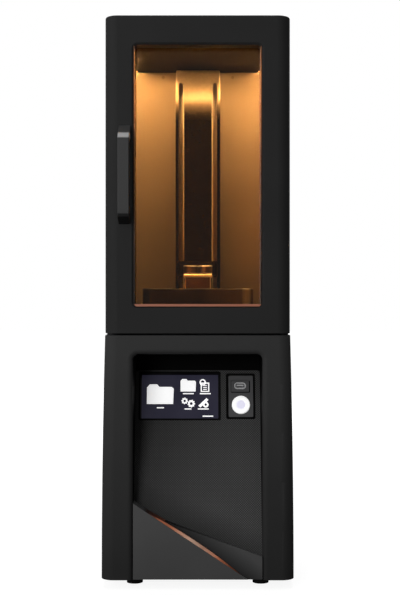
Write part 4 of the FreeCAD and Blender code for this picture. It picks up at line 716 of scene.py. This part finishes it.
def back_details():
    """Screws of the service panel and the fan, contacts of the network socket and marks of the rocker."""
    panel_face, socket_x = 175.5, 52
    screws = bmesh.new()
    for x in (-93.5, 93.5):
        for z in (39, 170, 301.5):
            screw(screws, x, z, panel_face, 3.4)
    for x in (-73.7, -2.3):
        for z in (154.3, 225.7):
            screw(screws, x, z, panel_face, 2.7)
    piece("rear_screws", screws, "printer", finishes["hinge_steel"], bevel=0.2 * MM)

    contacts = bmesh.new()
    count, pitch = 8, 1.25
    for i in range(count):
        x = socket_x + (i - (count - 1) / 2) * pitch
        prism(contacts, rounded(x, 169, 0.5, 8.6, 0.1), 162.3, 163.2, upright)
    piece("network_contacts", contacts, "printer", finishes["nut_brass"])

    def on_face(y, z, lean):
        """A place on one of the rocker's faces, from its lower edge and the degrees that it leans."""
        turn = math.radians(lean)
        rise, out = Vector((0, math.sin(turn), math.cos(turn))), Vector((0, math.cos(turn), -math.sin(turn)))
        return lambda x, up, high: (Vector((socket_x + x, y, z)) + rise * up + out * high) * MM

    marks = bmesh.new()
    sunk, proud, up = -0.1, 0.12, 5.2
    prism(marks, rounded(0, up, 1.0, 4.8, 0.3), sunk, proud, on_face(176.3, 118, 16.3))
    ring(marks, circle(0, up, 2.5, 20), circle(0, up, 1.6, 20), sunk, proud, on_face(175.7, 107.8, 3.4))
    white = moulded("rocker_marks", srgb(206, 206, 204), roughness=0.5, grain=0.3 * MM)
    piece("rocker_marks", marks, "rocker", white)


def window_trim():
    """A thin copper line along the lower front edge of the door's window."""
    half, foot, top, tip = 88.6, 399.1, 402.5, 402.1
    front, back = -150.3, -146.0
    trim = bmesh.new()
    outline = [(-half - 1.0, tip), (-half + 1.6, foot), (half - 1.6, foot), (half + 1.0, tip), (half - 0.4, tip),
               (half - 2.4, top), (-half + 2.4, top), (-half + 0.4, tip)]
    prism(trim, outline, front, back, forward)
    copper = moulded("sill_copper", srgb(146, 90, 68), roughness=0.35, spread=0.06, grain=1.5 * MM, specular=0.3)
    piece("window_trim", trim, "door", copper)


def chamber_lenses():
    """Under the ceiling: a long lens below each side lamp, a small one in each back corner, and in front of each
    corner's shade a tiny glowing dot that is a painted glint.
    """
    long_ones, corners, painted_glints = bmesh.new(), bmesh.new(), bmesh.new()
    for side in (-1, 1):
        prism(long_ones, rounded(side * 100.25, 53.7, 2.9, 15.6, 1.2), 782.3, 782.6, upright)
        prism(corners, rounded(side * 101.2, 131.2, 1.0, 2.6, 0.4), 785.6, 785.9, upright)
        # Painted glints: tiny glowing dots in front of the corner shades
        prism(painted_glints, circle(side * 100.9, 784.6, 0.7, 12), 126.9, 127.7, forward)
    piece("corner_painted_glints", painted_glints, "printer", lit_picture("corner_painted_glints", LAMP_COLOUR, PAINTED_GLINT_GLOW))
    piece("side_lamp_lenses", long_ones, "printer", lit_picture("side_glow", LAMP_COLOUR, SIDE_GLOW))
    piece("corner_lenses", corners, "printer", lit_picture("corner_glow", LAMP_COLOUR, CORNER_GLOW))


def painted_pane_glow():
    """Pieces with a painted glow down both sides of the window, where the pane's edges catch the chamber's light."""
    edges = bmesh.new()
    outline = [(90.0, 402), (89.2, 402.6), (89.2, 766), (90.0, 766.6)]
    for side in (-1, 1):
        prism(edges, on_side(side, outline), -149.3, -127.0, forward)
    piece("painted_pane_glow", edges, "door", painted_edge_glow())


def slot_lips():
    """Bare turned edges along the inner side of both slots of the tower, up its face and over its bend."""
    outer, inner = 62.35, 61.9
    path = [[(BEND_Y - reach, z) for reach in (outer, inner)] for z in (390.0, 560.0, BEND_Z)]
    for degree in range(4, 29, 4):
        turn = math.radians(degree)
        path.append([(BEND_Y - reach * math.cos(turn), BEND_Z + reach * math.sin(turn)) for reach in (outer, inner)])
    lips = bmesh.new()
    for side in (-1, 1):
        ribbon(lips, side * 22.1, side * 23.4, path)
    piece("slot_lips", lips, "printer", finishes["slot_edge"])


def chamber_screws():
    """Two countersunk screws that hold the back lining."""
    z, face = 776, 134.6
    screws = bmesh.new()
    for x in (-57.5, 57.5):
        ring(screws, circle(x, z, 2.6, 20), circle(x, z, 1.1, 20), face - 0.6, face, forward)
        prism(screws, circle(x, z, 1.2, 6), face - 0.3, face, forward)
    heads = moulded("lining_screws", srgb(104, 98, 95), roughness=0.4, specular=0.4)
    piece("lining_screws", screws, "printer", heads, bevel=0.2 * MM)


def lamp_shades():
    """A small hanging plate in front of each lamp at the sides and in the corners."""
    ceiling = 786
    beside = [(102, ceiling), (102, 775.5), (100.6, 774.2), (97.4, 774.2), (96.2, 775.4), (96.2, ceiling)]
    corner = [(102, ceiling), (102, 784.4), (101.5, 783.9), (100.2, 783.9), (99.7, 784.4), (99.7, ceiling)]
    shades = bmesh.new()
    for side in (-1, 1):
        prism(shades, on_side(side, beside), 23.6, 24.8, forward)
        prism(shades, on_side(side, corner), 127.8, 128.5, forward)
    piece("lamp_shades", shades, "printer", finishes["black_plastic"], bevel=0.3 * MM)


def clamp_details():
    """Rolled rims and grip ribs on both clamp knobs, and the milled edges of the arm and the stem."""
    knob_y, rim_radius = -21, 9.9
    for knob_x, body in ((-11, "clamp_left"), (11, "clamp_right")):
        rims, ribs = bmesh.new(), bmesh.new()
        hoop(rims, knob_x, knob_y, 459.0, rim_radius, 1.2)
        hoop(rims, knob_x, knob_y, 449.2, rim_radius, 1.0)
        for x, y in circle(knob_x, knob_y, 10.45, 18):
            prism(ribs, circle(x, y, 0.5, 6), 449.8, 458.4, upright)
        piece(body + "_rims", rims, body, finishes["slot_edge"])
        piece(body + "_ribs", ribs, body, finishes["knob_black"])

    nose = bmesh.new()
    turns = [math.radians(degree) for degree in range(-80, 81, 20)]
    curve = [(-43.0 - 1.9 * math.cos(t), 444.7 + 2.2 * math.sin(t)) for t in turns]
    prism(nose, curve, -20.6, 20.8, sideways)
    bright = machined("arm_nose", srgb(236, 250, 255), roughness=0.62, stretch=(0.1, 1, 1), size=3 * MM)
    piece("arm_nose", nose, "carriage", bright)

    edges = bmesh.new()
    for side in (-1, 1):
        prism(edges, rounded(side * 18.9, -41.0, 1.3, 0.9, 0.3), 381, 441.8, upright)
    piece("stem_edges", edges, "carriage", finishes["slot_edge"])


display_picture()
port_details()
back_details()
window_trim()
chamber_lenses()
painted_pane_glow()
slot_lips()
chamber_screws()
lamp_shades()
clamp_details()


# Studio

AMBIENT = 0.35
MIDDLE = (0, 0, 0.42)


def world():
    """White behind the object, dim on the camera's side in reflections, and plain grey as light."""
    sky = bpy.data.worlds.new("studio")
    sky.use_nodes = True
    tree = sky.node_tree
    tree.nodes.clear()

    def larger(first, second):
        return add_node(tree, "Math", {0: first, 1: second}, operation="MAXIMUM").outputs[0]

    rays = add_node(tree, "LightPath", {}).outputs
    way = add_node(tree, "TexCoord", {}).outputs["Generated"]
    depth = add_node(tree, "SeparateXYZ", {"Vector": way}).outputs["Y"]
    graded = add_node(tree, "MapRange", {"Value": depth, "From Min": 0.3, "From Max": 1.0,
                                         "To Min": 0.16, "To Max": 1.0})
    level = larger(graded.outputs["Result"], rays["Is Camera Ray"])
    bent = larger(rays["Is Transmission Ray"], rays["Is Glossy Ray"])
    seen = larger(bent, rays["Is Camera Ray"])
    backdrop = add_node(tree, "Background", {"Color": WHITE, "Strength": level})
    ambient = add_node(tree, "Background", {"Color": WHITE, "Strength": AMBIENT})
    mixed = add_node(tree, "MixShader", {"Fac": seen, 1: ambient.outputs[0], 2: backdrop.outputs[0]})
    add_node(tree, "OutputWorld", {"Surface": mixed.outputs[0]})
    bpy.context.scene.world = sky


def floor():
    """A wide pale floor that reads as white to the camera and keeps the object's soft shadow."""
    half = 12.0
    ground = bmesh.new()
    ground.faces.new([ground.verts.new((x * half, y * half, 0)) for x, y in ((-1, -1), (1, -1), (1, 1), (-1, 1))])
    finish = Finish("floor_white", Roughness=0.9, Specular_IOR_Level=0.0, Emission_Color=WHITE)
    grain = finish.noise(0.5, detail=2.0)
    finish.feed("Base Color", finish.mottled(grain, (0.14, 0.14, 0.14, 1), (0.16, 0.16, 0.16, 1)))
    white = finish.fade(finish.distance((0, 0, 0)), 0.9, 1.0, 0.5, 2.0)
    seen = finish.add("LightPath", {}).outputs["Is Camera Ray"]
    finish.feed("Emission Strength", finish.math("MULTIPLY", seen, white))
    finish.material.cycles.emission_sampling = "NONE"
    plane = linked("floor", ground, finish)


def area_light(name, place, size, power):
    """A square lamp that looks at the object's middle."""
    data = bpy.data.lights.new(name, "AREA")
    data.shape = "SQUARE"
    data.size = size
    data.energy = power
    light = bpy.data.objects.new(name, data)
    light.location = place
    light.rotation_euler = (Vector(MIDDLE) - Vector(place)).to_track_quat("-Z", "Y").to_euler()
    bpy.context.scene.collection.objects.link(light)


def camera():
    """Level, in front, where the photograph was taken from."""
    data = bpy.data.cameras.new("camera")
    data.lens = 68.97
    data.sensor_width = 36.0
    eye = bpy.data.objects.new("camera", data)
    eye.location = (3.3 * MM, -1.7555, 0.4117)
    eye.rotation_euler = (math.pi / 2, 0, 0)
    bpy.context.scene.collection.objects.link(eye)
    bpy.context.scene.camera = eye


world()
floor()
area_light("key", (-2.3, -1.4, 1.5), size=1.4, power=30)
area_light("overhead", (-0.1, -0.2, 2.4), size=1.3, power=18)
area_light("front", (-1.15, -2.8, 0.9), size=1.2, power=42)
area_light("back", (0, 3.0, 1.8), size=1.2, power=105)
# Light seen through the pane counts as indirect, so it is left unclamped
bpy.context.scene.cycles.sample_clamp_indirect = 0.0
camera()
bpy.context.scene.view_settings.view_transform = "Standard"
